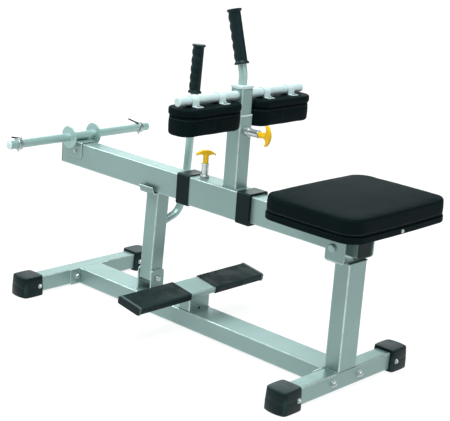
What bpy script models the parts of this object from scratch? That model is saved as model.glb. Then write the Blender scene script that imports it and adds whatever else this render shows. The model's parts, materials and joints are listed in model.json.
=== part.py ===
"""Seated calf raise machine, modelled at rest and at real size, in metres.

+X runs from the weight end to the seat end, +Y away from the side that is seen first, +Z up.
The origin is on the floor, under the middle of the machine's outline.
A user sits facing the weights, with the feet on the tilted bar and the thighs under the two pads.
"""

import math

import bmesh
import bpy
from mathutils import Matrix, Vector

SEAM = 0.0003  # gap between pieces that touch
WALL = 0.003  # wall of every frame tube
CORNER = 0.005  # outer corner radius of the rectangular tubes
PLATE = 0.005  # ears, bracket and flange plates

# Base: one long tube bolted between two cross stabilisers
SEAT_END_X = 0.5680  # middle of the seat-end stabiliser
GROUND_GAP = 0.008  # air under the base tubes
TUBE = 0.057  # side of the square posts and height of the stabilisers
BASE_WIDTH = 0.100
BASE_HEIGHT = 0.060
STABILISER_WIDTH = 0.055
STABILISER_SPACING = 1.197
STABILISER_LENGTH = 0.576
FLANGE_WIDTH = 0.184
FLANGE_RELIEF = 0.030  # opening in each flange, behind the stabiliser

# Rubber foot caps
FOOT_WIDTH = 0.0855
FOOT_LENGTH = 0.0905
FOOT_HEIGHT = 0.0745
FOOT_INNER_Y = 0.220  # where the cap starts on the stabiliser
FOOT_FIT = 0.0004

# Tilted footrest on its pedestal
FOOTREST_DISTANCE = 0.634  # from the seat-end stabiliser
FOOTREST_TOP = 0.147
FOOTREST_TILT = math.radians(9)
FOOTREST_WIDTH = 0.094
FOOTREST_THICKNESS = 0.020
FOOTREST_LENGTH = 0.590
FOOTREST_WALL = 0.0025
BOOT_WALL = 0.0028
BOOT_INNER_Y = 0.059  # half the bare middle of the footrest
PEDESTAL_LENGTH = 0.051
PEDESTAL_WIDTH = 0.096

# Lever arm and its pivot
PIVOT_BACK = 0.019  # pivot bolt, towards the weights from the seat-end stabiliser
PIVOT_Z = 0.456
ARM_WIDTH = 0.062
ARM_HEIGHT = 0.088
ARM_BELOW_PIVOT = 0.026
ARM_REACH = 1.2903  # pivot to the weight end of the tube
ARM_TAIL = 0.0625  # pivot to the seat end of the tube
ARM_CAP = 0.003
PIVOT_TUBE_RADIUS = 0.017
PIVOT_TUBE_BORE = 0.0128
PIVOT_BOLT_RADIUS = 0.008
BUSH_LENGTH = 0.025
BUSH_FLANGE = 0.002
RUNNING_FIT = 0.0002

# Seat post, bracket and seat
SEAT_POST_WIDTH = 0.086
BRACKET_HALF_WIDTH = 0.073
BRACKET_BOTTOM = 0.410
BRACKET_WEIGHT_EDGE = 0.045  # towards the weights from the seat-end stabiliser
BRACKET_SEAT_EDGE = 0.026
BRACKET_FLANGE = 0.034
SEAT_BOTTOM = 0.538
SEAT_BOARD = 0.019
SEAT_LENGTH = 0.348
SEAT_WIDTH = 0.472
SEAT_FORWARD = 0.1765  # seat's weight-side edge, from the seat-end stabiliser
SEAT_THICKNESS = 0.056
SEAT_CORNER = 0.052
SEAT_BOW = 0.005  # how far the middle of each side bows out
CUSHION_INSET = 0.0025  # the cushion stands this far inside its board

# Catch that holds the arm up: a post that swings sideways on a bolt between two ears
CATCH_DISTANCE = 0.8470
CATCH_PIVOT_Z = 0.116
CATCH_POST_BOTTOM = 0.111
CATCH_TONGUE_WIDTH = 0.040
CATCH_BOLT_RADIUS = 0.006
CATCH_EAR_GAP = 0.0008
EAR_WIDTH = 0.060
EAR_TOP = 0.148
EAR_CORNER = 0.010
CATCH_LEAN = math.radians(2.5)  # the handle's weight leans the catch outwards at rest
CRADLE_LENGTH = 0.066
CRADLE_PLATE = 0.004
CRADLE_LINING = 0.003
CRADLE_FLOOR_HALF = 0.050
CRADLE_RISE = 0.0215
CRADLE_FLARE = 0.0105
HANDLE_RADIUS = 0.014
HANDLE_WALL = 0.002
CATCH_HANDLE_ROOT = 0.308  # height of the weld on the post's far face
CATCH_HANDLE_REACH = 0.132  # post's middle to the upright run of the handle
CATCH_HANDLE_ELBOW = (0.110, 0.338)  # y and z of the first bend
CATCH_HANDLE_SHOULDER = 0.470  # height of the second bend
CATCH_HANDLE_TOP = 0.920

# Weight bar on its saddle
BAR_FROM_END = 0.0645  # weight bar, from the weight end of the arm tube
BAR_RADIUS = 0.015
BAR_WALL = 0.003
BAR_LENGTH = 0.642
BAR_PLUG_DOME = 0.004
BAR_PLUG_DEPTH = 0.018
STOP_RADIUS = 0.040
STOP_THICKNESS = 0.005
STOP_Y = 0.0545  # inner face of each plate stop
SADDLE_LENGTH = 0.088
SADDLE_PLATE = 0.004
SADDLE_DROP = 0.056
SADDLE_CORNER = 0.012
CLIP_Y = 0.282
CLIP_WIDTH = 0.016
CLIP_RADIUS = 0.0205
CLIP_FIT = 0.0003
CLIP_SCREW = 0.0035
CLIP_LEVER = 0.003
CLIP_LEVER_LENGTH = 0.054
CLIP_LEVER_ANGLES = {"near": 187, "far": 173}  # degrees above the seat end

# Carriage that slides on the arm, with the mast welded to it
CARRIAGE_DISTANCE = 0.5438  # middle of the carriage, from the seat-end stabiliser
CARRIAGE_LENGTH = 0.3235
SLEEVE_WIDTH = 0.080
SLEEVE_HEIGHT = 0.097
COLLAR_WIDTH = 0.088
COLLAR_HEIGHT = 0.105
COLLAR_LENGTH = 0.054
COLLAR_OVERLAP = 0.012
COLLAR_FIT = 0.0004
MAST_DISTANCE = 0.486
MAST_TOP = 0.762
MAST_LIP = 0.004
KNEE_POST = 0.050
KNEE_POST_WALL = 0.0025
KNEE_POST_BOTTOM = 0.600
KNEE_POST_TOP = 0.843
KNEE_CAP_HEIGHT = 0.012
KNEE_CAP_WIDTH = 0.053
HOLE_PITCH = 0.040
PIN_RADIUS = 0.005
PIN_HOLE_RADIUS = 0.0056
ARM_PIN_DISTANCE = 0.622
MAST_PIN_Z = 0.711
MAST_PIN_BOSS = 0.010
BARREL_RADIUS = 0.012
BARREL_HEIGHT = 0.048
BARREL_CHAMBER = 0.0092
BARREL_ROOF = 0.005
KNOB_SPAN = 0.065
KNOB_HEIGHT = 0.044
KNOB_THICKNESS = 0.014
ARM_KNOB_TURN = math.radians(59)

# Thigh pads on their cross tube
CROSS_TUBE_Z = 0.823
CROSS_TUBE_RADIUS = 0.014
CROSS_TUBE_WALL = 0.0025
CROSS_TUBE_LENGTH = 0.564
CLAMP_WIDTH = 0.028
CLAMP_STRAP = 0.003
CLAMP_FOOT = 0.020
CLAMP_INNER_Y = 0.104
CLAMP_OUTER_Y = 0.221
PAD_INNER_Y = 0.031
PAD_LENGTH = 0.266
PAD_WIDTH = 0.105
PAD_CORNER = 0.037
PAD_BOW = 0.0015
PAD_OFFSET = 0.003  # pad's middle, towards the seat from the cross tube
PAD_HEIGHT = 0.086
PAD_RIM_HEIGHT = 0.026
PAD_TAPER = 0.002

# Grips on both handles
GRIP_RADIUS = 0.019
GRIP_FLANGE_RADIUS = 0.024
GRIP_FLANGE = 0.005
GRIP_SWELL = 0.0040  # how far the finger side stands out
GRIP_GROOVE = 0.0032
GRIP_GROOVES = 5
GRIP_END = 0.004
TOP_HANDLE_RISE = 0.032  # straight part above the cap
TOP_HANDLE_TILT = math.radians(17)
TOP_GRIP_START = 0.030  # along the tilted run
TOP_GRIP_LENGTH = 0.174
CATCH_GRIP_LENGTH = 0.168

# Places worked out from the sizes above
STABILISER_TOP = GROUND_GAP + TUBE
WEIGHT_END_X = SEAT_END_X - STABILISER_SPACING
BASE_MIDDLE_Z = GROUND_GAP + TUBE / 2
BASE_TOP = BASE_MIDDLE_Z + BASE_HEIGHT / 2
PIVOT_X = SEAT_END_X - PIVOT_BACK
ARM_BOTTOM = PIVOT_Z - ARM_BELOW_PIVOT
ARM_TOP = ARM_BOTTOM + ARM_HEIGHT
ARM_MIDDLE_Z = (ARM_BOTTOM + ARM_TOP) / 2
ARM_WEIGHT_X = PIVOT_X - ARM_REACH
ARM_SEAT_X = PIVOT_X + ARM_TAIL
CATCH_X = SEAT_END_X - CATCH_DISTANCE
BAR_X = ARM_WEIGHT_X + BAR_FROM_END
SADDLE_TOP = ARM_TOP + SEAM + SADDLE_PLATE
BAR_Z = SADDLE_TOP + SEAM + BAR_RADIUS
CARRIAGE_X = SEAT_END_X - CARRIAGE_DISTANCE
SLEEVE_TOP = ARM_MIDDLE_Z + SLEEVE_HEIGHT / 2
MAST_X = SEAT_END_X - MAST_DISTANCE
ARM_PIN_X = SEAT_END_X - ARM_PIN_DISTANCE
BRACKET_TOP = SEAT_BOTTOM - SEAM
PAD_TOP = CROSS_TUBE_Z - CROSS_TUBE_RADIUS - CLAMP_STRAP
# The arm's near corner rests on the cradle, which leans with its post.
CRADLE_TOP = (
    CATCH_PIVOT_Z
    + (ARM_BOTTOM - SEAM - CATCH_PIVOT_Z) * math.cos(CATCH_LEAN)
    - (ARM_WIDTH / 2 - CORNER) * math.sin(CATCH_LEAN)
)
CUSHION_BOTTOM = SEAT_BOTTOM + SEAT_BOARD + SEAM
SEAT_X = SEAT_END_X - SEAT_FORWARD + SEAT_LENGTH / 2

# Colours as (red, green, blue, roughness, metallic)
FINISHES = {
    "frame_paint": (0.40, 0.55, 0.52, 0.38, 0.35),
    "pale_paint": (0.62, 0.72, 0.72, 0.35, 0.30),
    "zinc": (0.70, 0.73, 0.74, 0.30, 0.90),
    "rubber": (0.014, 0.022, 0.024, 0.60, 0.00),
    "black_plastic": (0.012, 0.018, 0.020, 0.45, 0.00),
    "vinyl": (0.012, 0.018, 0.020, 0.42, 0.00),
    "yellow_plastic": (0.85, 0.42, 0.01, 0.40, 0.00),
    "bronze": (0.45, 0.30, 0.12, 0.35, 0.90),
}

# World axes that a flat outline's own x, y and thickness run along
TURNS = {
    "X": Matrix(((0, 0, 1), (1, 0, 0), (0, 1, 0))),
    "Y": Matrix(((1, 0, 0), (0, 0, -1), (0, 1, 0))),
    "Z": Matrix.Identity(3),
}


def clear_scene():
    for obj in list(bpy.data.objects):
        bpy.data.objects.remove(obj, do_unlink=True)
    for name in ("seated_calf_raise", "cutters"):
        bpy.context.scene.collection.children.link(bpy.data.collections.new(name))


def finish_material(slot):
    material = bpy.data.materials.get(slot)
    if material is None:
        red, green, blue, roughness, metallic = FINISHES[slot]
        material = bpy.data.materials.new(slot)
        material.use_nodes = True
        shader = material.node_tree.nodes["Principled BSDF"]
        shader.inputs["Base Color"].default_value = (red, green, blue, 1)
        shader.inputs["Roughness"].default_value = roughness
        shader.inputs["Metallic"].default_value = metallic
        material.diffuse_color = (red, green, blue, 1)
    return material


def piece(name, mesh, slot, place=(0, 0, 0), turn=None):
    """A new object from a mesh, in the part's collection, with its own material."""
    obj = bpy.data.objects.new(name, mesh)
    bpy.data.collections["seated_calf_raise"].objects.link(obj)
    obj.location = place
    if turn is not None:
        obj.rotation_euler = turn.to_euler()
    mesh.materials.clear()
    mesh.materials.append(finish_material(slot))
    return obj


def smooth(obj, degrees=35):
    obj.data.shade_smooth()
    obj.data.set_sharp_from_angle(angle=math.radians(degrees))
    return obj


def to_cutter(obj):
    bpy.data.collections["seated_calf_raise"].objects.unlink(obj)
    bpy.data.collections["cutters"].objects.link(obj)
    obj.hide_render = True
    obj.display_type = "WIRE"
    return obj


def boolean(target, other, operation):
    modifier = target.modifiers.new(f"{operation.lower()}_{other.name}", "BOOLEAN")
    modifier.operation = operation
    modifier.solver = "EXACT"
    modifier.object = to_cutter(other)
    return target


def baked(obj):
    """Applies the modifiers, so that the mesh can be shared or turned."""
    bpy.context.view_layer.update()
    graph = bpy.context.evaluated_depsgraph_get()
    obj.data = bpy.data.meshes.new_from_object(obj.evaluated_get(graph))
    obj.modifiers.clear()
    return obj


def mesh_of_curve(name, curve):
    """The evaluated mesh of a curve, with its caps welded to its sides."""
    obj = bpy.data.objects.new(name, curve)
    bpy.context.scene.collection.objects.link(obj)
    bpy.context.view_layer.update()
    graph = bpy.context.evaluated_depsgraph_get()
    mesh = bpy.data.meshes.new_from_object(obj.evaluated_get(graph))
    mesh.name = name
    bpy.data.objects.remove(obj, do_unlink=True)
    bpy.data.curves.remove(curve)
    work = bmesh.new()
    work.from_mesh(mesh)
    bmesh.ops.remove_doubles(work, verts=work.verts, dist=1e-6)
    work.to_mesh(mesh)
    work.free()
    return mesh


def prism(name, outlines, depth, slot, place=(0, 0, 0), axis="Z"):
    """A flat outline, with holes if it has more than one loop, extruded both ways along an axis."""
    curve = bpy.data.curves.new(name, "CURVE")
    curve.dimensions = "2D"
    curve.fill_mode = "BOTH"
    curve.extrude = depth / 2
    for outline in outlines:
        spline = curve.splines.new("POLY")
        spline.points.add(len(outline) - 1)
        for point, (u, v) in zip(spline.points, outline):
            point.co = (u, v, 0, 1)
        spline.use_cyclic_u = True
    return smooth(piece(name, mesh_of_curve(name, curve), slot, place, TURNS[axis]))


def arc(centre, radius, start, end, steps):
    """Points on an arc, with its angles in degrees."""
    angles = [math.radians(start + (end - start) * i / steps) for i in range(steps + 1)]
    return [(centre[0] + radius * math.cos(a), centre[1] + radius * math.sin(a)) for a in angles]


def rounded(width, height, radius, steps=3):
    """A rectangle around the origin with round corners."""
    u, v = width / 2 - radius, height / 2 - radius
    corners = (((u, v), 0), ((-u, v), 90), ((-u, -v), 180), ((u, -v), 270))
    points = []
    for centre, start in corners:
        points += arc(centre, radius, start, start + 90, steps)
    return points


def bowed(width, height, radius, bow, steps=6, splits=6):
    """A rounded rectangle whose four sides bow outwards."""
    corners = rounded(width, height, radius, steps)
    points = []
    for i, (u, v) in enumerate(corners):
        points.append((u, v))
        if (i + 1) % (steps + 1) == 0:
            next_u, next_v = corners[(i + 1) % len(corners)]
            for j in range(1, splits):
                share = j / splits
                points.append((u + (next_u - u) * share, v + (next_v - v) * share))
    grown = []
    for u, v in points:
        along_u, along_v = 2 * u / width, 2 * v / height
        grow_u, grow_v = 2 * bow * (1 - along_v**2), 2 * bow * (1 - along_u**2)
        grown.append((u * (1 + grow_u / width), v * (1 + grow_v / height)))
    return grown


def circle(radius, sides, centre=(0, 0)):
    return arc(centre, radius, 0, 360 - 360 / sides, sides - 1)


def rectangular_tube(name, width, height, length, slot, place, axis, wall=WALL, corner=CORNER):
    inner = rounded(width - 2 * wall, height - 2 * wall, max(corner - wall, 0.001), 2)
    return prism(name, [rounded(width, height, corner), inner], length, slot, place, axis)


def block(name, size, slot, place, bevel=0.0, segments=2):
    mesh = bpy.data.meshes.new(name)
    work = bmesh.new()
    bmesh.ops.create_cube(work, size=1)
    bmesh.ops.scale(work, vec=size, verts=work.verts)
    work.to_mesh(mesh)
    work.free()
    obj = piece(name, mesh, slot, place)
    if bevel:
        modifier = obj.modifiers.new("rounded_edges", "BEVEL")
        modifier.width = bevel
        modifier.segments = segments
    return obj


def cylinder(name, radius, length, slot, place, axis="Z", sides=24):
    return prism(name, [circle(radius, sides)], length, slot, place, axis)


def drill(target, radius, length, place, axis, sides=20):
    cutter = cylinder(f"drill_{len(bpy.data.objects)}", radius, length, "zinc", place, axis, sides)
    return boolean(target, cutter, "DIFFERENCE")


def turned(name, profile, slot, place, axis="Z", steps=24, closed=False):
    """A profile of (radius, height) points, outer side from top to bottom, turned about an axis."""
    mesh = bpy.data.meshes.new(name)
    work = bmesh.new()
    points = [work.verts.new((radius, 0, height)) for radius, height in profile]
    for first, second in zip(points, points[1:]):
        work.edges.new((first, second))
    if closed:
        work.edges.new((points[-1], points[0]))
    work.to_mesh(mesh)
    work.free()
    obj = piece(name, mesh, slot, place, TURNS[axis])
    screw = obj.modifiers.new("turned", "SCREW")
    screw.steps = steps
    screw.render_steps = steps
    screw.use_merge_vertices = True
    screw.merge_threshold = 1e-5
    return obj


def filleted_path(corners, radius, steps=5):
    """A polyline through 3D corners, with an arc of the given radius at each inner one."""
    corners = [Vector(corner) for corner in corners]
    path = [corners[0]]
    for before, corner, after in zip(corners, corners[1:], corners[2:]):
        back, ahead = (before - corner).normalized(), (after - corner).normalized()
        half = back.angle(ahead) / 2
        reach = radius / math.tan(half)
        middle = corner + (back + ahead).normalized() * (radius / math.sin(half))
        start, end = corner + back * reach - middle, corner + ahead * reach - middle
        sweep = start.angle(end)
        for i in range(steps + 1):
            share = i / steps
            point = start * math.sin((1 - share) * sweep) + end * math.sin(share * sweep)
            path.append(middle + point / math.sin(sweep))
    return path + [corners[-1]]


def path_curve(name, path, radius, resolution, caps):
    curve = bpy.data.curves.new(name, "CURVE")
    curve.dimensions = "3D"
    curve.bevel_depth = radius
    curve.bevel_resolution = resolution
    curve.use_fill_caps = caps
    spline = curve.splines.new("POLY")
    spline.points.add(len(path) - 1)
    for point, place in zip(spline.points, path):
        point.co = (*place, 1)
    return curve


def bent_tube(name, path, radius, wall, slot):
    """A round tube along a path, open at both ends."""
    mesh = mesh_of_curve(name, path_curve(name, path, radius, 3, False))
    obj = smooth(piece(name, mesh, slot))
    shell = obj.modifiers.new("wall", "SOLIDIFY")
    shell.thickness = wall
    shell.offset = -1
    return obj


def loft(name, rings, slot, place=(0, 0, 0), turn=None, degrees=40):
    """A closed skin over rings of equally many points, with flat or pointed ends."""
    mesh = bpy.data.meshes.new(name)
    work = bmesh.new()
    rows = [[work.verts.new(point) for point in ring] for ring in rings]
    for lower, upper in zip(rows, rows[1:]):
        for i in range(len(lower)):
            j = (i + 1) % len(lower)
            work.faces.new((lower[i], lower[j], upper[j], upper[i]))
    work.faces.new(list(reversed(rows[0])))
    work.faces.new(rows[-1])
    bmesh.ops.recalc_face_normals(work, faces=work.faces)
    work.to_mesh(mesh)
    work.free()
    return smooth(piece(name, mesh, slot, place, turn), degrees)


def joint_axis(name, place):
    """An empty on a joint's axis, which the pieces of that body are parented to."""
    empty = bpy.data.objects.new(name, None)
    bpy.data.collections["seated_calf_raise"].objects.link(empty)
    empty.location = place
    empty.empty_display_size = 0.05
    return empty


def hang_on(parent, objects):
    for obj in objects:
        obj.parent = parent
        obj.matrix_parent_inverse = Matrix.Translation(-parent.location)


def make_base():
    """The long tube with a flange plate on each end, as one weldment."""
    weight_face = WEIGHT_END_X + STABILISER_WIDTH / 2 + SEAM
    seat_face = SEAT_END_X - STABILISER_WIDTH / 2 - SEAM
    middle = (weight_face + seat_face) / 2
    length = seat_face - weight_face - PLATE
    place = (middle, 0, BASE_MIDDLE_Z)
    size = (BASE_WIDTH, BASE_HEIGHT, length)
    base = rectangular_tube("base_tube", *size, "frame_paint", place, "X")
    for name, x in (("weight", weight_face + PLATE / 2), ("seat", seat_face - PLATE / 2)):
        outline = [rounded(FLANGE_WIDTH, TUBE, 0.004, 2), circle(FLANGE_RELIEF / 2, 16)]
        where = (x, 0, BASE_MIDDLE_Z)
        flange = prism(f"{name}_flange", outline, PLATE, "frame_paint", where, "X")
        boolean(base, flange, "UNION")


def make_stabilisers():
    for end, x in (("weight", WEIGHT_END_X), ("seat", SEAT_END_X)):
        name = f"{end}_stabiliser"
        place = (x, 0, BASE_MIDDLE_Z)
        size = (STABILISER_WIDTH, TUBE, STABILISER_LENGTH)
        rectangular_tube(name, *size, "frame_paint", place, "Y")


def foot_cap_mesh():
    """A cap that swells between its ends, flat underneath, with a pocket for the stabiliser."""
    stations = (
        (0.000, 0.93, 0.030, 0.005),
        (0.025, 0.98, 0.010, 0.006),
        (0.120, 1.00, 0.000, 0.007),
        (0.500, 1.01, 0.000, 0.007),
        (0.860, 1.00, 0.000, 0.008),
        (0.940, 0.98, 0.015, 0.009),
        (0.980, 0.90, 0.060, 0.010),
        (1.000, 0.66, 0.180, 0.010),
    )
    rings = []
    for along, swell, lift, corner in stations:
        low, high = FOOT_HEIGHT * lift, FOOT_HEIGHT * (1 - lift * 0.8)
        outline = rounded(FOOT_WIDTH * swell, high - low, corner)
        middle = (low + high) / 2
        rings.append([(u, along * FOOT_LENGTH, middle + v) for u, v in outline])
    cap = loft("foot_cap", rings, "rubber")
    pocket_depth = STABILISER_LENGTH / 2 - FOOT_INNER_Y + SEAM
    size = (STABILISER_WIDTH + 2 * FOOT_FIT, 2 * pocket_depth, TUBE + 2 * FOOT_FIT)
    pocket = block("foot_pocket", size, "rubber", (0, 0, BASE_MIDDLE_Z))
    baked(boolean(cap, pocket, "DIFFERENCE"))
    mesh = cap.data
    bpy.data.objects.remove(cap, do_unlink=True)
    return mesh


def make_foot_caps():
    mesh = foot_cap_mesh()
    for end, x in (("weight", WEIGHT_END_X), ("seat", SEAT_END_X)):
        for side, sign in (("near", -1), ("far", 1)):
            turn = Matrix.Rotation(math.pi if sign < 0 else 0, 3, "Z")
            name = f"foot_cap_{end}_{side}"
            piece(name, mesh, "rubber", (x, sign * FOOT_INNER_Y, 0), turn)


def make_footrest():
    """A flat bar tilted towards the user, in two rubber boots, on a pedestal welded to the base."""
    x = SEAT_END_X - FOOTREST_DISTANCE
    tilt = Matrix.Rotation(FOOTREST_TILT, 3, "Y")
    down = tilt @ Vector((0, 0, -1))
    middle = Vector((x, 0, FOOTREST_TOP)) + down * (BOOT_WALL + FOOTREST_THICKNESS / 2)
    size = (FOOTREST_WIDTH, FOOTREST_THICKNESS, FOOTREST_LENGTH)
    bar = rectangular_tube(
        "footrest_bar", *size, "frame_paint", middle, "Y", FOOTREST_WALL, 0.004
    )
    bar.rotation_euler = (tilt @ TURNS["Y"]).to_euler()
    fit = 2 * SEAM
    boot_size = (FOOTREST_WIDTH + 2 * BOOT_WALL + fit, FOOTREST_THICKNESS + 2 * BOOT_WALL + fit)
    boot_length = FOOTREST_LENGTH / 2 - BOOT_INNER_Y + BOOT_WALL + SEAM
    for side, sign in (("near", -1), ("far", 1)):
        offset = Vector((0, sign * (BOOT_INNER_Y + boot_length / 2), 0))
        outline = [rounded(*boot_size, 0.006)]
        name = f"footrest_boot_{side}"
        boot = prism(name, outline, boot_length, "rubber", middle + offset, "Y")
        boot.rotation_euler = bar.rotation_euler
        bore = [rounded(FOOTREST_WIDTH + fit, FOOTREST_THICKNESS + fit, 0.0035)]
        back = Vector((0, -sign * BOOT_WALL, 0))
        where = middle + offset + back
        cutter = prism(f"{name}_bore", bore, boot_length, "rubber", where, "Y")
        cutter.rotation_euler = bar.rotation_euler
        boolean(boot, cutter, "DIFFERENCE")
    height = FOOTREST_TOP - BASE_TOP
    place = (x + 0.004, 0, BASE_TOP + SEAM + height / 2)
    size = (PEDESTAL_LENGTH, PEDESTAL_WIDTH, height)
    pedestal = rectangular_tube("footrest_pedestal", *size, "frame_paint", place, "Z")
    thick = 0.08
    above = middle - down * (thick / 2 - FOOTREST_THICKNESS / 2 - SEAM)
    trim = block("pedestal_trim", (0.2, 0.3, thick), "frame_paint", above)
    trim.rotation_euler = (0, FOOTREST_TILT, 0)
    boolean(pedestal, trim, "DIFFERENCE")


def make_seat_post():
    height = BRACKET_BOTTOM - STABILISER_TOP - 2 * SEAM
    place = (SEAT_END_X, 0, STABILISER_TOP + SEAM + height / 2)
    size = (TUBE, SEAT_POST_WIDTH, height)
    rectangular_tube("seat_post", *size, "frame_paint", place, "Z")


def make_seat_bracket():
    """A wide U of bent plate: it carries the arm's pivot between its cheeks and the seat on its flanges."""
    half, thick = BRACKET_HALF_WIDTH, PLATE
    bend = 0.008
    low, high = BRACKET_BOTTOM, BRACKET_TOP
    out = half - thick + BRACKET_FLANGE
    right = (
        [(0, low)]
        + arc((half - bend, low + bend), bend, 270, 360, 4)
        + [(half, high - thick), (out, high - thick), (out, high), (half - thick, high)]
        + arc((half - bend, low + bend), bend - thick, 360, 270, 3)
    )
    left = [(-u, v) for u, v in reversed(right[1:])]
    length = BRACKET_WEIGHT_EDGE + BRACKET_SEAT_EDGE
    middle_x = SEAT_END_X + (BRACKET_SEAT_EDGE - BRACKET_WEIGHT_EDGE) / 2
    outline = [right + left]
    place = (middle_x, 0, 0)
    bracket = prism("seat_bracket", outline, length + 0.02, "frame_paint", place, "X")
    side = rounded(length, high - low + 0.04, 0.013, 4)
    place = (middle_x, 0, (low + high) / 2 + 0.0198)
    shape = prism("bracket_side", [side], 0.3, "frame_paint", place, "Y")
    boolean(bracket, shape, "INTERSECT")
    drill(bracket, PIVOT_BOLT_RADIUS + RUNNING_FIT, 0.2, (PIVOT_X, 0, PIVOT_Z), "Y")


def make_arm_pivot(arm_axis):
    """A bolt through the bracket, on which the arm's cross tube turns in two flanged bushes."""
    outer = BRACKET_HALF_WIDTH + SEAM
    head, head_radius, nut, nut_radius = 0.008, 0.0125, 0.010, 0.0125
    shank = PIVOT_BOLT_RADIUS
    profile = [
        (0, outer + nut),
        (nut_radius * 0.8, outer + nut),
        (nut_radius, outer + nut - 0.0015),
        (nut_radius, outer),
        (shank, outer),
        (shank, -outer),
        (head_radius, -outer),
        (head_radius, -outer - head + 0.003),
        (head_radius * 0.8, -outer - head),
        (0, -outer - head),
    ]
    # The turned piece's own height runs towards -Y, so the profile is turned end for end.
    profile = [(radius, -height) for radius, height in reversed(profile)]
    bolt = turned("arm_pivot_bolt", profile, "zinc", (PIVOT_X, 0, PIVOT_Z), "Y")
    smooth(baked(bolt))
    inner = BRACKET_HALF_WIDTH - PLATE
    half = inner - 2 * SEAM - BUSH_FLANGE
    loops = [circle(PIVOT_TUBE_RADIUS, 24), circle(PIVOT_TUBE_BORE, 24)]
    place = (PIVOT_X, 0, PIVOT_Z)
    tube = prism("arm_pivot_tube", loops, 2 * half, "frame_paint", place, "Y")
    pieces = [tube]
    for side, sign in (("near", -1), ("far", 1)):
        rim, sleeve, bore = PIVOT_TUBE_RADIUS, PIVOT_TUBE_BORE - SEAM, shank + RUNNING_FIT
        profile = [
            (rim, BUSH_FLANGE),
            (rim, 0),
            (sleeve, 0),
            (sleeve, -BUSH_LENGTH),
            (bore, -BUSH_LENGTH),
            (bore, BUSH_FLANGE),
        ]
        where = (PIVOT_X, sign * (half + SEAM), PIVOT_Z)
        name = f"arm_pivot_bush_{side}"
        bush = turned(name, profile, "bronze", where, "Y", closed=True)
        smooth(baked(bush))
        if sign > 0:
            bush.rotation_euler = (Matrix.Rotation(math.pi, 3, "X") @ TURNS["Y"]).to_euler()
        pieces.append(bush)
    hang_on(arm_axis, pieces)


def make_arm(arm_axis):
    """The lever: one long tube with plastic end caps and a row of holes for the carriage pin."""
    length = ARM_REACH + ARM_TAIL
    middle_x = (ARM_WEIGHT_X + ARM_SEAT_X) / 2
    place = (middle_x, 0, ARM_MIDDLE_Z)
    arm = rectangular_tube("arm_tube", ARM_WIDTH, ARM_HEIGHT, length, "frame_paint", place, "X")
    drill(arm, PIVOT_TUBE_RADIUS + SEAM, 0.1, (PIVOT_X, 0, PIVOT_Z), "Y", 24)
    for step in (-2, -1, 0, 1, 2):
        x = ARM_PIN_X + step * HOLE_PITCH
        drill(arm, PIN_HOLE_RADIUS, 0.02, (x, 0, ARM_TOP), "Z", 16)
    pieces = [arm]
    for end, x, sign in (("weight", ARM_WEIGHT_X, -1), ("seat", ARM_SEAT_X, 1)):
        outline = [rounded(ARM_WIDTH, ARM_HEIGHT, CORNER)]
        where = (x + sign * (SEAM + ARM_CAP / 2), 0, ARM_MIDDLE_Z)
        cap = prism(f"arm_cap_{end}", outline, ARM_CAP, "black_plastic", where, "X")
        inset = 2 * (WALL + SEAM)
        plug_length = 0.014
        plug = [rounded(ARM_WIDTH - inset, ARM_HEIGHT - inset, 0.002, 2)]
        where = (x - sign * plug_length / 2 + sign * (SEAM + ARM_CAP / 2), 0, ARM_MIDDLE_Z)
        inner = prism(f"arm_plug_{end}", plug, plug_length, "black_plastic", where, "X")
        boolean(cap, inner, "UNION")
        pieces.append(cap)
    hang_on(arm_axis, pieces)


def make_weight_bar(arm_axis):
    """A round bar with a plate stop each side, on a saddle bent over the arm."""
    inner = ARM_WIDTH / 2 + SEAM
    outer = inner + SADDLE_PLATE
    high, low = SADDLE_TOP, SADDLE_TOP - SADDLE_PLATE - SADDLE_DROP
    bend = 0.006
    right = (
        [(0, high)]
        + arc((outer - bend, high - bend), bend, 90, 0, 3)
        + [(outer, low), (inner, low), (inner, high - SADDLE_PLATE)]
    )
    left = [(-u, v) for u, v in reversed(right[1:])]
    place = (BAR_X, 0, 0)
    saddle = prism("bar_saddle", [right + left], SADDLE_LENGTH + 0.02, "frame_paint", place, "X")
    side = rounded(SADDLE_LENGTH, high - low + 0.04, SADDLE_CORNER, 4)
    middle_z = (high + low) / 2 + 0.0198
    shape = prism("saddle_side", [side], 0.2, "frame_paint", (BAR_X, 0, middle_z), "Y")
    boolean(saddle, shape, "INTERSECT")
    half, rim = BAR_LENGTH / 2, 0.002
    bore = BAR_RADIUS - BAR_WALL
    stop_out = STOP_Y + STOP_THICKNESS
    profile = [
        (BAR_RADIUS, half),
        (BAR_RADIUS, stop_out),
        (STOP_RADIUS - rim, stop_out),
        (STOP_RADIUS, stop_out - rim),
        (STOP_RADIUS, STOP_Y),
        (BAR_RADIUS, STOP_Y),
    ]
    mirrored = [(radius, -height) for radius, height in reversed(profile)]
    bored = [(bore, -half), (bore, half)]
    place = (BAR_X, 0, BAR_Z)
    loops = profile + mirrored + bored
    bar = turned("weight_bar", loops, "frame_paint", place, "Y", 28, closed=True)
    smooth(baked(bar))
    pieces = [saddle, bar]
    for side, sign in (("near", -1), ("far", 1)):
        profile = [
            (0, BAR_PLUG_DOME),
            (bore * 0.6, BAR_PLUG_DOME * 0.85),
            (BAR_RADIUS - 0.001, BAR_PLUG_DOME * 0.3),
            (BAR_RADIUS, 0),
            (bore - SEAM, 0),
            (bore - SEAM, -BAR_PLUG_DEPTH),
            (0, -BAR_PLUG_DEPTH),
        ]
        where = (BAR_X, sign * (half + SEAM), BAR_Z)
        plug = turned(f"bar_plug_{side}", profile, "pale_paint", where, "Y", 20)
        smooth(baked(plug))
        if sign > 0:
            plug.rotation_euler = (Matrix.Rotation(math.pi, 3, "X") @ TURNS["Y"]).to_euler()
        pieces.append(plug)
    hang_on(arm_axis, pieces)


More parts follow.
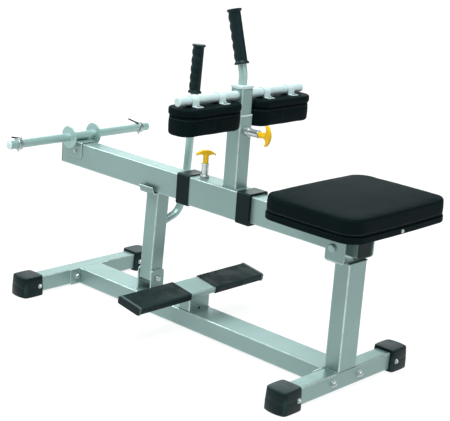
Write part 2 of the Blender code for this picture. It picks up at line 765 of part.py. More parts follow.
def make_bar_clips():
    """A sprung ring on each end of the bar, with a screw under it and a black lever over it."""
    for side, sign in (("near", -1), ("far", 1)):
        place = (BAR_X, sign * CLIP_Y, BAR_Z)
        axis = joint_axis(f"clip_axis_{side}", place)
        bore = BAR_RADIUS + CLIP_FIT
        rim = 0.0015
        half = CLIP_WIDTH / 2
        profile = [
            (CLIP_RADIUS - rim, half),
            (CLIP_RADIUS, half - rim),
            (CLIP_RADIUS, -half + rim),
            (CLIP_RADIUS - rim, -half),
            (bore, -half),
            (bore, half),
        ]
        ring = turned(f"bar_clip_{side}", profile, "zinc", place, "Y", 28, closed=True)
        smooth(baked(ring))
        screw_length = 0.008
        below = (BAR_X, sign * CLIP_Y, BAR_Z - CLIP_RADIUS - screw_length / 2 + 0.002)
        screw = cylinder(f"clip_screw_{side}", CLIP_SCREW, screw_length, "zinc", below, "Z", 12)
        boolean(ring, screw, "UNION")
        # The lever lies along the ring's inner face, just over the bar.
        tilt = math.radians(CLIP_LEVER_ANGLES[side])
        along = Vector((math.cos(tilt), 0, math.sin(tilt)))
        over = Vector((along.z, 0, -along.x)) * (BAR_RADIUS + CLIP_LEVER + CLIP_FIT)
        beside = Vector((0, -sign * (half + CLIP_LEVER + SEAM), 0))
        start = Vector(place) + over + beside - along * 0.004
        end = start + along * CLIP_LEVER_LENGTH
        curve = path_curve("clip_lever", [start, start.lerp(end, 0.5), end], CLIP_LEVER, 2, True)
        lever = piece(f"clip_lever_{side}", mesh_of_curve("clip_lever", curve), "black_plastic")
        hang_on(axis, [ring, smooth(lever)])


def make_catch_ears():
    for side, sign in (("weight", -1), ("seat", 1)):
        x = CATCH_X + sign * (TUBE / 2 + CATCH_EAR_GAP + PLATE / 2)
        low = BASE_TOP + SEAM
        corner = EAR_CORNER
        half = EAR_WIDTH / 2
        outline = (
            [(-half, low), (half, low)]
            + arc((half - corner, EAR_TOP - corner), corner, 0, 90, 4)
            + arc((-half + corner, EAR_TOP - corner), corner, 90, 180, 4)
        )
        hole = circle(CATCH_BOLT_RADIUS + RUNNING_FIT, 16, (0, CATCH_PIVOT_Z))
        prism(f"catch_ear_{side}", [outline, hole], PLATE, "frame_paint", (x, 0, 0), "X")
    outer = TUBE / 2 + CATCH_EAR_GAP + PLATE + SEAM
    head, head_radius = 0.007, 0.011
    profile = [
        (0, outer + head),
        (head_radius * 0.8, outer + head),
        (head_radius, outer + head - 0.002),
        (head_radius, outer),
        (CATCH_BOLT_RADIUS, outer),
    ]
    profile += [(radius, -height) for radius, height in reversed(profile)]
    bolt = turned("catch_pivot_bolt", profile, "zinc", (CATCH_X, 0, CATCH_PIVOT_Z), "X")
    smooth(baked(bolt))


def cradle_outline(inner, thick):
    """An open channel in the YZ plane, whose skins lie inner and inner + thick below the lining's back."""
    slope = math.atan2(CRADLE_RISE, CRADLE_FLARE)
    floor = CRADLE_TOP - CRADLE_LINING
    points = []
    for offset in (inner, inner + thick):
        corner = (CRADLE_FLOOR_HALF + offset * math.tan(slope / 2), floor - offset)
        tip_u = CRADLE_FLOOR_HALF + CRADLE_FLARE + offset * math.sin(slope)
        points.append((corner, (tip_u, floor + CRADLE_RISE - offset * math.cos(slope))))
    (in_corner, in_tip), (out_corner, out_tip) = points
    right = [in_corner, in_tip, out_tip, out_corner]
    left = [(-u, v) for u, v in reversed(right)]
    return right + left


def make_catch(catch_axis):
    """The swinging post: a tongue on its pivot, a lined cradle on top and the long release handle."""
    post_top = CRADLE_TOP - CRADLE_LINING - CRADLE_PLATE - 2 * SEAM
    height = post_top - CATCH_POST_BOTTOM
    place = (CATCH_X, 0, CATCH_POST_BOTTOM + height / 2)
    post = rectangular_tube("catch_post", TUBE, TUBE, height, "frame_paint", place, "Z")
    round_end = CATCH_TONGUE_WIDTH / 2
    tongue_top = CATCH_POST_BOTTOM + 0.035
    outline = arc((0, CATCH_PIVOT_Z), round_end, 180, 360, 8) + [
        (round_end, tongue_top),
        (-round_end, tongue_top),
    ]
    tongue = prism("catch_tongue", [outline], TUBE - 0.001, "frame_paint", (CATCH_X, 0, 0), "X")
    boolean(post, tongue, "UNION")
    drill(post, CATCH_BOLT_RADIUS + RUNNING_FIT, 0.1, (CATCH_X, 0, CATCH_PIVOT_Z), "X", 16)
    where = (CATCH_X, 0, 0)
    outline = [cradle_outline(SEAM, CRADLE_PLATE)]
    cradle = prism("cradle", outline, CRADLE_LENGTH, "frame_paint", where, "X")
    outline = [cradle_outline(-CRADLE_LINING, CRADLE_LINING)]
    lining = prism("cradle_lining", outline, CRADLE_LENGTH, "rubber", where, "X")
    corners = [
        (CATCH_X, 0, CATCH_HANDLE_ROOT - 0.012),
        (CATCH_X, *CATCH_HANDLE_ELBOW),
        (CATCH_X, CATCH_HANDLE_REACH - 0.002, CATCH_HANDLE_SHOULDER),
        (CATCH_X, CATCH_HANDLE_REACH, CATCH_HANDLE_TOP),
    ]
    path = filleted_path(corners[:3], 0.055, 6)[:-1]
    path += filleted_path([path[-1], *corners[2:]], 0.60, 3)[1:]
    handle = bent_tube("catch_handle", path, HANDLE_RADIUS, HANDLE_WALL, "frame_paint")
    reach = TUBE / 2 + SEAM
    size = (0.2, 0.2, 0.4)
    place = (CATCH_X, reach - size[1] / 2, CATCH_HANDLE_ROOT)
    boolean(baked(handle), block("handle_root_trim", size, "frame_paint", place), "DIFFERENCE")
    end = Vector(corners[3])
    along = end - Vector(corners[2])
    grip = make_grip("catch_grip", end, along, CATCH_GRIP_LENGTH, Vector((0, -1, 0)))
    hang_on(catch_axis, [baked(post), cradle, lining, baked(handle), baked(grip)])
    catch_axis.rotation_euler.x = -CATCH_LEAN


def make_grip(name, top, along, length, facing):
    """A moulded grip with a flared flange at each end, its finger grooves turned to one side."""
    sides, per_groove = 20, 6
    lip = GRIP_FLANGE + 0.004
    body = length - 2 * lip
    levels = [(0, GRIP_FLANGE_RADIUS - 0.001, 0), (0.001, GRIP_FLANGE_RADIUS, 0)]
    levels += [(GRIP_FLANGE * 0.6, GRIP_FLANGE_RADIUS, 0)]
    for i in range(per_groove * GRIP_GROOVES + 1):
        share = i / (per_groove * GRIP_GROOVES)
        wave = math.sin(math.pi * GRIP_GROOVES * share) ** 2
        levels.append((lip + body * share, GRIP_RADIUS, GRIP_SWELL - GRIP_GROOVE * (1 - wave)))
    levels += [(length - GRIP_FLANGE * 0.6, GRIP_FLANGE_RADIUS, 0)]
    levels += [(length - 0.001, GRIP_FLANGE_RADIUS, 0), (length, GRIP_FLANGE_RADIUS - 0.001, 0)]
    rings = []
    for height, radius, swell in levels:
        ring = []
        for i in range(sides):
            angle = 2 * math.pi * i / sides
            reach = radius + swell * max(0.0, math.cos(angle)) ** 1.5
            ring.append((reach * math.cos(angle), reach * math.sin(angle), height))
        rings.append(ring)
    up = Vector(along).normalized()
    side = (facing - up * facing.dot(up)).normalized()
    turn = Matrix((side, up.cross(side), up)).transposed()
    place = Vector(top) + up * (GRIP_END + SEAM - length)
    grip = loft(name, rings, "black_plastic", place, turn, 50)
    depth = length - GRIP_END
    bore = cylinder(f"{name}_bore", HANDLE_RADIUS + SEAM, 2 * depth, "rubber", place, "Z", 16)
    bore.rotation_euler = grip.rotation_euler
    return boolean(grip, bore, "DIFFERENCE")


def make_carriage(carriage_axis):
    """The sleeve on the arm with its plastic collars, and the mast welded on top."""
    sleeve_length = CARRIAGE_LENGTH - 2 * (COLLAR_LENGTH - COLLAR_OVERLAP) - 2 * SEAM
    place = (CARRIAGE_X, 0, ARM_MIDDLE_Z)
    size = (SLEEVE_WIDTH, SLEEVE_HEIGHT, sleeve_length)
    sleeve = rectangular_tube("carriage_sleeve", *size, "frame_paint", place, "X")
    drill(sleeve, PIN_HOLE_RADIUS, 0.02, (ARM_PIN_X, 0, SLEEVE_TOP), "Z", 16)
    pieces = [sleeve]
    for end, sign in (("weight", -1), ("seat", 1)):
        x = CARRIAGE_X + sign * (CARRIAGE_LENGTH - COLLAR_LENGTH) / 2
        bore = rounded(ARM_WIDTH + 2 * COLLAR_FIT, ARM_HEIGHT + 2 * COLLAR_FIT, CORNER)
        outline = [rounded(COLLAR_WIDTH, COLLAR_HEIGHT, 0.007), bore]
        where = (x, 0, ARM_MIDDLE_Z)
        name = f"collar_{end}"
        collar = prism(name, outline, COLLAR_LENGTH, "black_plastic", where, "X")
        recess = [rounded(SLEEVE_WIDTH + 2 * SEAM, SLEEVE_HEIGHT + 2 * SEAM, CORNER)]
        where = (x - sign * COLLAR_LENGTH / 2, 0, ARM_MIDDLE_Z)
        cutter = prism(f"{name}_recess", recess, 2 * COLLAR_OVERLAP, "rubber", where, "X")
        boolean(collar, cutter, "DIFFERENCE")
        pieces.append(collar)
    low = SLEEVE_TOP + SEAM
    high = MAST_TOP - MAST_LIP - SEAM
    place = (MAST_X, 0, (low + high) / 2)
    mast = rectangular_tube("mast", TUBE, TUBE, high - low, "frame_paint", place, "Z")
    drill(mast, PIN_HOLE_RADIUS, 0.02, (MAST_X + TUBE / 2, 0, MAST_PIN_Z), "X", 16)
    bore = rounded(KNEE_POST + 4 * SEAM, KNEE_POST + 4 * SEAM, CORNER)
    outline = [rounded(TUBE, TUBE, CORNER), bore]
    place = (MAST_X, 0, MAST_TOP - MAST_LIP / 2)
    lip = prism("mast_lip", outline, MAST_LIP, "pale_paint", place, "Z")
    hang_on(carriage_axis, [*pieces, mast, lip])


def barrel_profile(boss):
    """A pull-pin barrel: a boss, a spring chamber and a roof that the pin slides through."""
    top = boss + BARREL_HEIGHT
    bore = PIN_HOLE_RADIUS
    return [
        (BARREL_RADIUS - 0.001, top),
        (BARREL_RADIUS + 0.001, top - 0.001),
        (BARREL_RADIUS + 0.001, top - 0.006),
        (BARREL_RADIUS, top - 0.007),
        (BARREL_RADIUS, boss + 0.008),
        (BARREL_RADIUS + 0.003, boss + 0.008),
        (BARREL_RADIUS + 0.003, 0),
        (BARREL_CHAMBER, 0),
        (BARREL_CHAMBER, top - BARREL_ROOF),
        (bore, top - BARREL_ROOF),
        (bore, top),
    ]


def knob_outline():
    """A T-shaped knob seen from its flat side: a stem and two drooping wings."""
    half, droop, stem = KNOB_SPAN / 2, 0.013, 0.008
    steps = 6

    def crown(u):
        return KNOB_HEIGHT - droop * (u / half) ** 2

    top = [(half * i / steps, crown(half * i / steps)) for i in range(steps, -steps - 1, -1)]
    under_left, under_right = [], []
    for i in range(steps + 1):
        u = half - (half - stem) * i / steps
        thick = 0.006 + 0.012 * (i / steps) ** 2
        under_left.append((-u, crown(u) - thick))
        under_right.append((u, crown(u) - thick))
    return top + under_left + [(-stem, 0), (stem, 0)] + list(reversed(under_right))


def make_pull_pin(label, base, axis, boss, tip_gap, knob_turn, carriage_axis):
    """A spring-loaded pull pin: the barrel stays on the carriage, the plunger and its knob pull out."""
    direction = Vector((1, 0, 0)) if axis == "X" else Vector((0, 0, 1))
    turn = TURNS[axis]
    base = Vector(base)
    barrel = turned(f"{label}_barrel", barrel_profile(boss), "zinc", base, axis, 20, closed=True)
    smooth(baked(barrel))
    top = boss + BARREL_HEIGHT
    hang_on(carriage_axis, [barrel])
    pin_axis = joint_axis(f"{label}_axis", base)
    pin_top = top + SEAM + 0.020
    profile = [
        (0, pin_top),
        (PIN_RADIUS, pin_top),
        (PIN_RADIUS, tip_gap + 0.001),
        (PIN_RADIUS - 0.001, tip_gap),
        (0, tip_gap),
    ]
    plunger = turned(f"{label}_plunger", profile, "zinc", base, axis, 16)
    smooth(baked(plunger))
    seat = base + direction * (top + SEAM)
    flat = Matrix.Rotation(math.pi / 2, 3, "X")
    name = f"{label}_knob"
    knob = prism(name, [knob_outline()], KNOB_THICKNESS, "yellow_plastic", seat, "Z")
    knob.rotation_euler = (turn @ Matrix.Rotation(knob_turn, 3, "Z") @ flat).to_euler()
    edges = knob.modifiers.new("rounded_edges", "BEVEL")
    edges.width = 0.003
    edges.segments = 2
    edges.limit_method = "ANGLE"
    edges.angle_limit = math.radians(50)
    stem_profile = [(0, 0.030), (0.0095, 0.030), (0.0095, 0.002), (0.0085, 0), (0, 0)]
    stem = turned(f"{name}_stem", stem_profile, "yellow_plastic", seat, axis, 16)
    boolean(knob, baked(stem), "UNION")
    socket = cylinder(f"{name}_socket", PIN_RADIUS + SEAM, 0.042, "zinc", seat, "Z", 16)
    socket.rotation_euler = turn.to_euler()
    boolean(knob, socket, "DIFFERENCE")
    hang_on(pin_axis, [plunger, knob])


def make_pull_pins(carriage_axis):
    base = (ARM_PIN_X, 0, SLEEVE_TOP + SEAM)
    tip = ARM_TOP + SEAM - base[2]
    make_pull_pin("arm_pin", base, "Z", 0.0, tip, ARM_KNOB_TURN, carriage_axis)
    base = (MAST_X + TUBE / 2 + SEAM, 0, MAST_PIN_Z)
    tip = MAST_X + KNEE_POST / 2 + SEAM - base[0]
    make_pull_pin("mast_pin", base, "X", MAST_PIN_BOSS, tip, math.pi / 2, carriage_axis)


def make_knee_post(knee_axis):
    """The post that telescopes in the mast, with its holes, cap, cross tube and top handle."""
    place = (MAST_X, 0, (KNEE_POST_BOTTOM + KNEE_POST_TOP) / 2)
    size = (KNEE_POST, KNEE_POST, KNEE_POST_TOP - KNEE_POST_BOTTOM)
    post = rectangular_tube(
        "knee_post", *size, "frame_paint", place, "Z", KNEE_POST_WALL, 0.004
    )
    for step in (-2, -1, 0, 1):
        z = MAST_PIN_Z + step * HOLE_PITCH
        drill(post, PIN_HOLE_RADIUS, 0.02, (MAST_X + KNEE_POST / 2, 0, z), "X", 16)
    drill(post, CROSS_TUBE_RADIUS + SEAM, 0.1, (MAST_X, 0, CROSS_TUBE_Z), "Y", 24)
    low = KNEE_POST_TOP + SEAM
    place = (MAST_X, 0, low + KNEE_CAP_HEIGHT / 2)
    cap = block(
        "knee_post_cap", (KNEE_CAP_WIDTH, KNEE_CAP_WIDTH, KNEE_CAP_HEIGHT), "pale_paint", place, 0.003
    )
    loops = [
        circle(CROSS_TUBE_RADIUS, 24),
        circle(CROSS_TUBE_RADIUS - CROSS_TUBE_WALL, 24),
    ]
    place = (MAST_X, 0, CROSS_TUBE_Z)
    cross = prism("cross_tube", loops, CROSS_TUBE_LENGTH, "pale_paint", place, "Y")
    start = Vector((MAST_X, 0, low + KNEE_CAP_HEIGHT + SEAM))
    bend = start + Vector((0, 0, TOP_HANDLE_RISE))
    along = Vector((-math.sin(TOP_HANDLE_TILT), 0, math.cos(TOP_HANDLE_TILT)))
    end = bend + along * (TOP_GRIP_START + TOP_GRIP_LENGTH - GRIP_END)
    path = filleted_path([start, bend, end], 0.10, 4)
    handle = bent_tube("top_handle", path, HANDLE_RADIUS, HANDLE_WALL, "frame_paint")
    grip = make_grip("top_grip", end, along, TOP_GRIP_LENGTH, Vector((-1, 0, 0)))
    hang_on(knee_axis, [post, cap, cross, handle, grip])


def clamp_outline():
    """A strap over the cross tube with a foot each side, seen along the tube."""
    inner = CROSS_TUBE_RADIUS + SEAM
    outer = inner + CLAMP_STRAP
    foot_low = PAD_TOP + SEAM - CROSS_TUBE_Z
    foot_high = foot_low + CLAMP_STRAP - 2 * SEAM
    reach = outer + CLAMP_FOOT
    return (
        [(reach, foot_low), (reach, foot_high), (outer, foot_high)]
        + arc((0, 0), outer, 0, 180, 12)
        + [(-outer, foot_high), (-reach, foot_high), (-reach, foot_low), (-inner, foot_low)]
        + arc((0, 0), inner, 180, 0, 12)
        + [(inner, foot_low)]
    )


def pad_rings():
    """A thigh pad from its flat top down: a proud rim, a seam, tapering sides and a soft underside."""
    rim, low = PAD_RIM_HEIGHT, PAD_HEIGHT
    levels = [
        (0.0, 0.005),
        (0.0015, 0.002),
        (0.005, 0.0005),
        (rim * 0.5, 0.001),
        (rim - 0.004, 0.0),
        (rim - 0.001, 0.0008),
        (rim, 0.0035),
    ]
    body = low - rim - 0.012
    for share in (0.03, 0.2, 0.5, 0.8, 1.0):
        swell = 0.0012 * math.sin(math.pi * share)
        levels.append((rim + body * share, 0.003 + PAD_TAPER * share - swell))
    for angle in (30, 60, 85):
        turn = math.radians(angle)
        inset = 0.003 + PAD_TAPER + 0.010 * (1 - math.cos(turn))
        levels.append((rim + body + 0.010 * math.sin(turn), inset))
    levels += [(low - 0.0008, 0.026), (low, 0.032)]
    rings = []
    for depth, inset in levels:
        corner = max(PAD_CORNER - inset, 0.004)
        size = (PAD_WIDTH - 2 * inset, PAD_LENGTH - 2 * inset)
        outline = bowed(*size, corner, PAD_BOW, 6, 5)
        rings.append([(u, v, -depth) for u, v in outline])
    return rings


def make_thigh_pads(knee_axis):
    pieces = []
    for side, sign in (("near", -1), ("far", 1)):
        middle_y = PAD_INNER_Y + PAD_LENGTH / 2
        place = (MAST_X + PAD_OFFSET, sign * middle_y, PAD_TOP)
        pieces.append(loft(f"thigh_pad_{side}", pad_rings(), "vinyl", place))
        for position, y in (("inner", CLAMP_INNER_Y), ("outer", CLAMP_OUTER_Y)):
            name = f"clamp_{side}_{position}"
            where = (MAST_X, sign * y, CROSS_TUBE_Z)
            pieces.append(prism(name, [clamp_outline()], CLAMP_WIDTH, "pale_paint", where, "Y"))
    hang_on(knee_axis, pieces)


def make_seat():
    outline = bowed(SEAT_LENGTH, SEAT_WIDTH, SEAT_CORNER, SEAT_BOW)
    place = (SEAT_X, 0, SEAT_BOTTOM + SEAT_BOARD / 2)
    prism("seat_board", [outline], SEAT_BOARD, "vinyl", place, "Z")
    edge, crown = 0.011, 0.0025
    side = SEAT_THICKNESS - edge - crown
    levels = [(0.0, 0.003), (0.002, 0.0008), (side * 0.35, 0.0), (side * 0.7, 0.0015), (side, 0.004)]
    for angle in (22, 45, 67, 88):
        turn = math.radians(angle)
        levels.append((side + edge * math.sin(turn), 0.004 + edge * (1 - math.cos(turn))))
    for share in (0.12, 0.3, 0.55, 0.8, 0.94):
        height = side + edge + crown * math.sin(math.pi / 2 * share)
        levels.append((height, 0.015 + (SEAT_LENGTH / 2 - 0.022) * share))
    rings = []
    for height, inset in levels:
        inset += CUSHION_INSET
        corner = max(SEAT_CORNER - inset, 0.006)
        size = (SEAT_LENGTH - 2 * inset, SEAT_WIDTH - 2 * inset)
        rings.append([(u, v, height) for u, v in bowed(*size, corner, SEAT_BOW)])
    loft("seat_cushion", rings, "vinyl", (SEAT_X, 0, CUSHION_BOTTOM))


def main():
    clear_scene()
    arm_axis = joint_axis("arm_axis", (PIVOT_X, 0, PIVOT_Z))
    carriage_axis = joint_axis("carriage_axis", (CARRIAGE_X, 0, ARM_MIDDLE_Z))
    knee_axis = joint_axis("knee_post_axis", (MAST_X, 0, MAST_TOP))
    catch_axis = joint_axis("catch_axis", (CATCH_X, 0, CATCH_PIVOT_Z))
    make_base()
    make_stabilisers()
    make_foot_caps()
    make_footrest()
    make_seat_post()
    make_seat_bracket()
    make_seat()
    make_catch_ears()
    make_catch(catch_axis)
    make_arm(arm_axis)
    make_arm_pivot(arm_axis)
    make_weight_bar(arm_axis)
    make_bar_clips()
    make_carriage(carriage_axis)
    make_pull_pins(carriage_axis)
    make_knee_post(knee_axis)
    make_thigh_pads(knee_axis)


main()
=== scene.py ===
"""Looks of the seated calf raise machine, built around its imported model.

The file is laid out as an add-on and run as a script. Each operator makes one piece or one group
of like pieces, and main calls them in order. Lengths are in metres.
"""

import json
import math

import bmesh
import bpy
import numpy as np
from bpy.props import FloatProperty, FloatVectorProperty, IntProperty, PointerProperty
from mathutils import Matrix, Vector, noise
from mathutils.bvhtree import BVHTree

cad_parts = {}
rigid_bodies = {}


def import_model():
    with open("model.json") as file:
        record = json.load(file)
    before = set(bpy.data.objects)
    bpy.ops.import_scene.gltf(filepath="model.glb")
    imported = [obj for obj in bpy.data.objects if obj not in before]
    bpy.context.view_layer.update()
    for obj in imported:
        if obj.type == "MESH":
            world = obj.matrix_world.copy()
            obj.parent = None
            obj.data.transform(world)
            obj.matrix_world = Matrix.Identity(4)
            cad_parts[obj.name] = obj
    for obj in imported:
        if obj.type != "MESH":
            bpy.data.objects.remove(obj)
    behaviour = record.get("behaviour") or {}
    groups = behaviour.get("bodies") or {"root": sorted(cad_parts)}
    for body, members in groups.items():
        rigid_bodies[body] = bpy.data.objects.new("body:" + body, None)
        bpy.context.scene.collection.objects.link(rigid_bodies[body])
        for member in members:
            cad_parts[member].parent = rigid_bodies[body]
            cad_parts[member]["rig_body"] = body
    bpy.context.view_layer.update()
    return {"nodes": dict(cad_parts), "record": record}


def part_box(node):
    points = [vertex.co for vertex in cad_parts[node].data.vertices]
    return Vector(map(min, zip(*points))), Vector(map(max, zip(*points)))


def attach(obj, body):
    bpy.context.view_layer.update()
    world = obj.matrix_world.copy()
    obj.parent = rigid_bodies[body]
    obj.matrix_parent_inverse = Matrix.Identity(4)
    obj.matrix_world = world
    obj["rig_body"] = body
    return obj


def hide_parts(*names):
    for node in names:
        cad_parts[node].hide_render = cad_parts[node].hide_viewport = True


bl_info = {
    "name": "Seated calf raise machine",
    "version": (1, 0, 0),
    "blender": (4, 5, 0),
    "location": "3D View > Sidebar > Calf raise",
    "description": "Dresses the packed model of a seated calf raise machine",
    "category": "Object",
}

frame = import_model()
NODES = frame["nodes"]
BODIES = {node: NODES[node]["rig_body"] for node in NODES}
SLOTS = {item["node"]: item["material_slot"] for item in frame["record"]["subparts"]}

# Both sides of the machine, with their way along y, and both ends of its base.
SIDES = (("near", -1), ("far", 1))
ENDS = ("weight", "seat")
FOOT_CAPS = {f"foot_cap_{end}_{side}": sign for end in ENDS for side, sign in SIDES}
# Each grip, with the way that its finger grooves face.
GRIPS = {"top_grip": (-1, 0, 0), "catch_grip": (0, -1, 0)}
# Nodes that get a piece of their own, and so no edged copy.
FORMED = {"seat_cushion", "thigh_pad_near", "thigh_pad_far", *GRIPS, *FOOT_CAPS}
# Bent or straight round bars, whose facets are no edges.
ROUND = {"weight_bar", "top_handle", "catch_handle", "cross_tube", "bar_clip_near", "bar_clip_far"}
# Bars that look lighter and smoother than the tubes.
BARS = {"arm_pivot_bolt", "weight_bar", "top_handle", "catch_handle"}
# Edge rounding that differs from the usual one, each width with its nodes.
ROUNDINGS = (
    (0.0032, "arm_pin_knob", "mast_pin_knob"),
    (0.0028, "footrest_boot_near", "footrest_boot_far"),
    (0.0025, "seat_board"),
    (0.0016, "collar_weight", "collar_seat"),
    (0.0015, "bar_saddle", "catch_ear_weight", "catch_ear_seat"),
    (0.0012, "knee_post_cap", "arm_cap_seat"),
    (0.0007, "cradle_lining"),
    (0.0005, "arm_cap_weight", "clamp_near_inner", "clamp_near_outer"),
    (0.0005, "clamp_far_inner", "clamp_far_outer"),
)
ROUNDING = {node: width for width, *nodes in ROUNDINGS for node in nodes}

# A foot cap's profile: each level's height up the sides, or its depth below the top, and how far
# it stands back from the cap's box.
CAP_SIDES = (
    (0.0000, 0.0032),
    (0.0012, 0.0010),
    (0.0040, 0.0),
    (0.0352, 0.0003),
    (0.0358, 0.0012),
    (0.0372, 0.0013),
    (0.0386, 0.0007),
    (0.058, 0.0016),
)
CAP_TOP = (
    (0.0042, 0.0024),
    (0.0024, 0.0030),
    (0.0013, 0.0042),
    (0.0010, 0.0070),
    (0.0006, 0.0130),
    (0.0002, 0.0230),
    (0.0, 0.0340),
)
# The cross tube's plug: how far each ring stands out of the tube, and its share of the radius.
PLUG_PROFILE = (
    (-0.012, 0.78),
    (0.0002, 0.80),
    (0.0002, 0.985),
    (0.0014, 1.0),
    (0.0024, 0.97),
    (0.0030, 0.86),
    (0.0026, 0.70),
    (0.0022, 0.35),
)
# The directions across the tilted footrest and up out of its tread.
FOOTREST_ACROSS = (0.987688, 0.0, -0.156434)
FOOTREST_UP = (0.156434, 0.0, 0.987688)

# Each soft light: its place, what it faces, its size and its power.
SOFTBOXES = {
    "left_softbox": ((-2.7, -1.5, 2.7), (0.0, 0.0, 0.4), 1.0, 44),
    "overhead_softbox": ((0.2, -0.5, 3.0), (0.0, 0.0, 0.4), 1.1, 26),
    "right_fill": ((3.4, 0.6, 1.6), (0.1, 0.0, 0.5), 1.6, 10),
    "rear_softbox": ((-5.0, 5.6, 3.1), (0.0, 0.0, 0.4), 4.4, 130),
}
# The way that the wide light from above shines.
CEILING_WAY = (-0.22, 0.26, -0.94)
# The camera that fits the photograph: its place and its right, up and back directions.
CAMERA_PLACE = (2.6183, -2.8345, 1.5170)
CAMERA_AXES = (
    (0.724997, 0.684999, 0.071803),
    (-0.237656, 0.150951, 0.959549),
    (0.646451, -0.712735, 0.272233),
)
CAMERA_LENS = 98.027

# Colours that a user wouldn't change.
# The footrest ribs' pale rubber, a painted highlight.
RIB_HIGHLIGHT_COLOUR = (0.16, 0.23, 0.23)
BRONZE_COLOUR = (0.55, 0.38, 0.16)
THREAD_COLOUR = (0.030, 0.042, 0.044)
LIGHT_COLOUR = (0.88, 1.0, 1.0)
SKY_COLOUR = (0.95, 1.0, 1.0, 1)
# Edge colours of paint and zinc: partly wear, partly a painted highlight.
EDGE_WEAR_AND_HIGHLIGHT_PAINT = (0.80, 0.95, 0.93)
EDGE_WEAR_AND_HIGHLIGHT_ZINC = (0.90, 0.94, 0.93)

# A solid's points that lie closer than this are joined, and so are faces that turn less.
MERGE_DISTANCE = 1e-5
MERGE_DEGREES = 0.7
# Edges that turn more than this are shaded sharp, and those that turn more still are rounded.
SHARP_DEGREES = 32
ROUNDED_DEGREES = 38
ROUNDING_SEGMENTS = 2
# How much the surface turns, from 0 to 1, where a point starts to count as an edge, on most
# pieces and on round bars, how much more makes it fully one, and the widest face on it.
EDGE_TURN = 0.012
EDGE_TURN_ROUND = 0.04
EDGE_TURN_SPAN = 0.020
WIDEST_RIM = 0.005
# The simulation that stuffs a cover: its pressure, its frames and its steps in each.
STUFFING_PRESSURE = 4.0
STUFFING_FRAMES = 20
STUFFING_QUALITY = 5
# Keeps a division from failing on a length of zero.
TINY = 1e-9


def colour_setting(name, description, default):
    return FloatVectorProperty(
        name=name,
        description=description,
        subtype="COLOR",
        size=3,
        min=0,
        max=1,
        default=default,
    )


def length_setting(name, description, default, least, most):
    return FloatProperty(
        name=name,
        description=description,
        subtype="DISTANCE",
        unit="LENGTH",
        min=least,
        max=most,
        default=default,
    )


class CalfRaiseLook(bpy.types.PropertyGroup):
    """The colours and sizes that a user would change"""

    paint_colour: colour_setting(
        "Frame paint", "Powder coat of the tubes and plates", (0.232, 0.348, 0.332)
    )
    pale_colour: colour_setting(
        "Pale paint", "Powder coat of the cross tube, clamps and caps", (0.56, 0.70, 0.71)
    )
    steel_colour: colour_setting(
        "Plated steel", "Zinc of bolts, barrels and ring clips", (0.50, 0.56, 0.56)
    )
    vinyl_colour: colour_setting(
        "Vinyl", "Cover of the seat and the thigh pads", (0.0025, 0.0068, 0.0078)
    )
    rubber_colour: colour_setting(
        "Rubber", "Foot caps, footrest boots and cradle lining", (0.0055, 0.0120, 0.0130)
    )
    plastic_colour: colour_setting(
        "Black plastic", "Grips, collars and end caps", (0.0050, 0.0105, 0.0115)
    )
    knob_colour: colour_setting(
        "Knobs", "Moulded plastic of both pull knobs", (0.80, 0.47, 0.012)
    )
    edge_rounding: length_setting(
        "Edge rounding", "Width of the rounding on tube ends and plates", 0.0008, 0.0001, 0.003
    )
    cushion_swell: length_setting(
        "Cushion swell", "How far the foam may push the seat cover out", 0.0025, 0, 0.02
    )
    pad_swell: length_setting(
        "Pad swell", "How far the foam may push the pad covers out", 0.0012, 0, 0.02
    )
    piping_radius: length_setting(
        "Piping radius", "Thickness of the piping round the seat and pads", 0.0019, 0.0005, 0.005
    )
    stitch_spacing: length_setting(
        "Stitch spacing", "Distance from one stitch to the next", 0.006, 0.002, 0.02
    )
    bolt_width: length_setting(
        "Bolt head", "Width of the hexagon heads on the base", 0.0185, 0.004, 0.03
    )
    weld_radius: length_setting(
        "Weld bead", "Radius of the weld beads where tubes meet", 0.0023, 0.0005, 0.006
    )
    grip_grooves: IntProperty(
        name="Grip grooves",
        description="Finger grooves on each grip",
        min=1,
        max=12,
        default=5,
    )


# -------------------------------------------------------------- node trees


FLOAT = "NodeSocketFloat"
VECTOR_INPUT = ("Vector", "NodeSocketVector", None)
# Sockets of a Mix node that is set to colours.
MIX_FACTOR, MIX_FIRST, MIX_SECOND, MIX_RESULT = 0, 6, 7, 2


def node_group(kind, name, inputs, outputs):
    """A node group with its named sockets, and its two end nodes."""
    tree = bpy.data.node_groups.new(name, kind)
    for label, socket_type, default in inputs:
        socket = tree.interface.new_socket(label, in_out="INPUT", socket_type=socket_type)
        if default is not None:
            socket.default_value = default
    for label, socket_type in outputs:
        tree.interface.new_socket(label, in_out="OUTPUT", socket_type=socket_type)
    return tree, tree.nodes.new("NodeGroupInput"), tree.nodes.new("NodeGroupOutput")


def feed(tree, value, socket):
    """Links a socket to the value of another, or writes a plain value on it."""
    if isinstance(value, bpy.types.NodeSocket):
        tree.links.new(value, socket)
    else:
        socket.default_value = value


def feed_all(tree, node, settings):
    for label, value in settings:
        feed(tree, value, node.inputs[label])


def math_node(tree, operation, first, second, clamp=False):
    node = tree.nodes.new("ShaderNodeMath")
    node.operation = operation
    node.use_clamp = clamp
    feed_all(tree, node, ((0, first), (1, second)))
    return node.outputs[0]


# --------------------------------------------------------------- materials


def material_tree(name):
    """A new material, the tree to build in and its Principled shader."""
    material = bpy.data.materials.new(name)
    material.use_nodes = True
    tree = material.node_tree
    return material, tree, tree.nodes["Principled BSDF"]


def object_vector(tree):
    return tree.nodes.new("ShaderNodeTexCoord").outputs["Object"]


def edge_value(tree):
    node = tree.nodes.new("ShaderNodeAttribute")
    node.attribute_name = "edge"
    return node.outputs["Fac"]


def noise_node(tree, vector, scale, detail=2.0, roughness=0.5):
    node = tree.nodes.new("ShaderNodeTexNoise")
    settings = (("Vector", vector), ("Scale", scale), ("Detail", detail), ("Roughness", roughness))
    feed_all(tree, node, settings)
    return node.outputs[0]


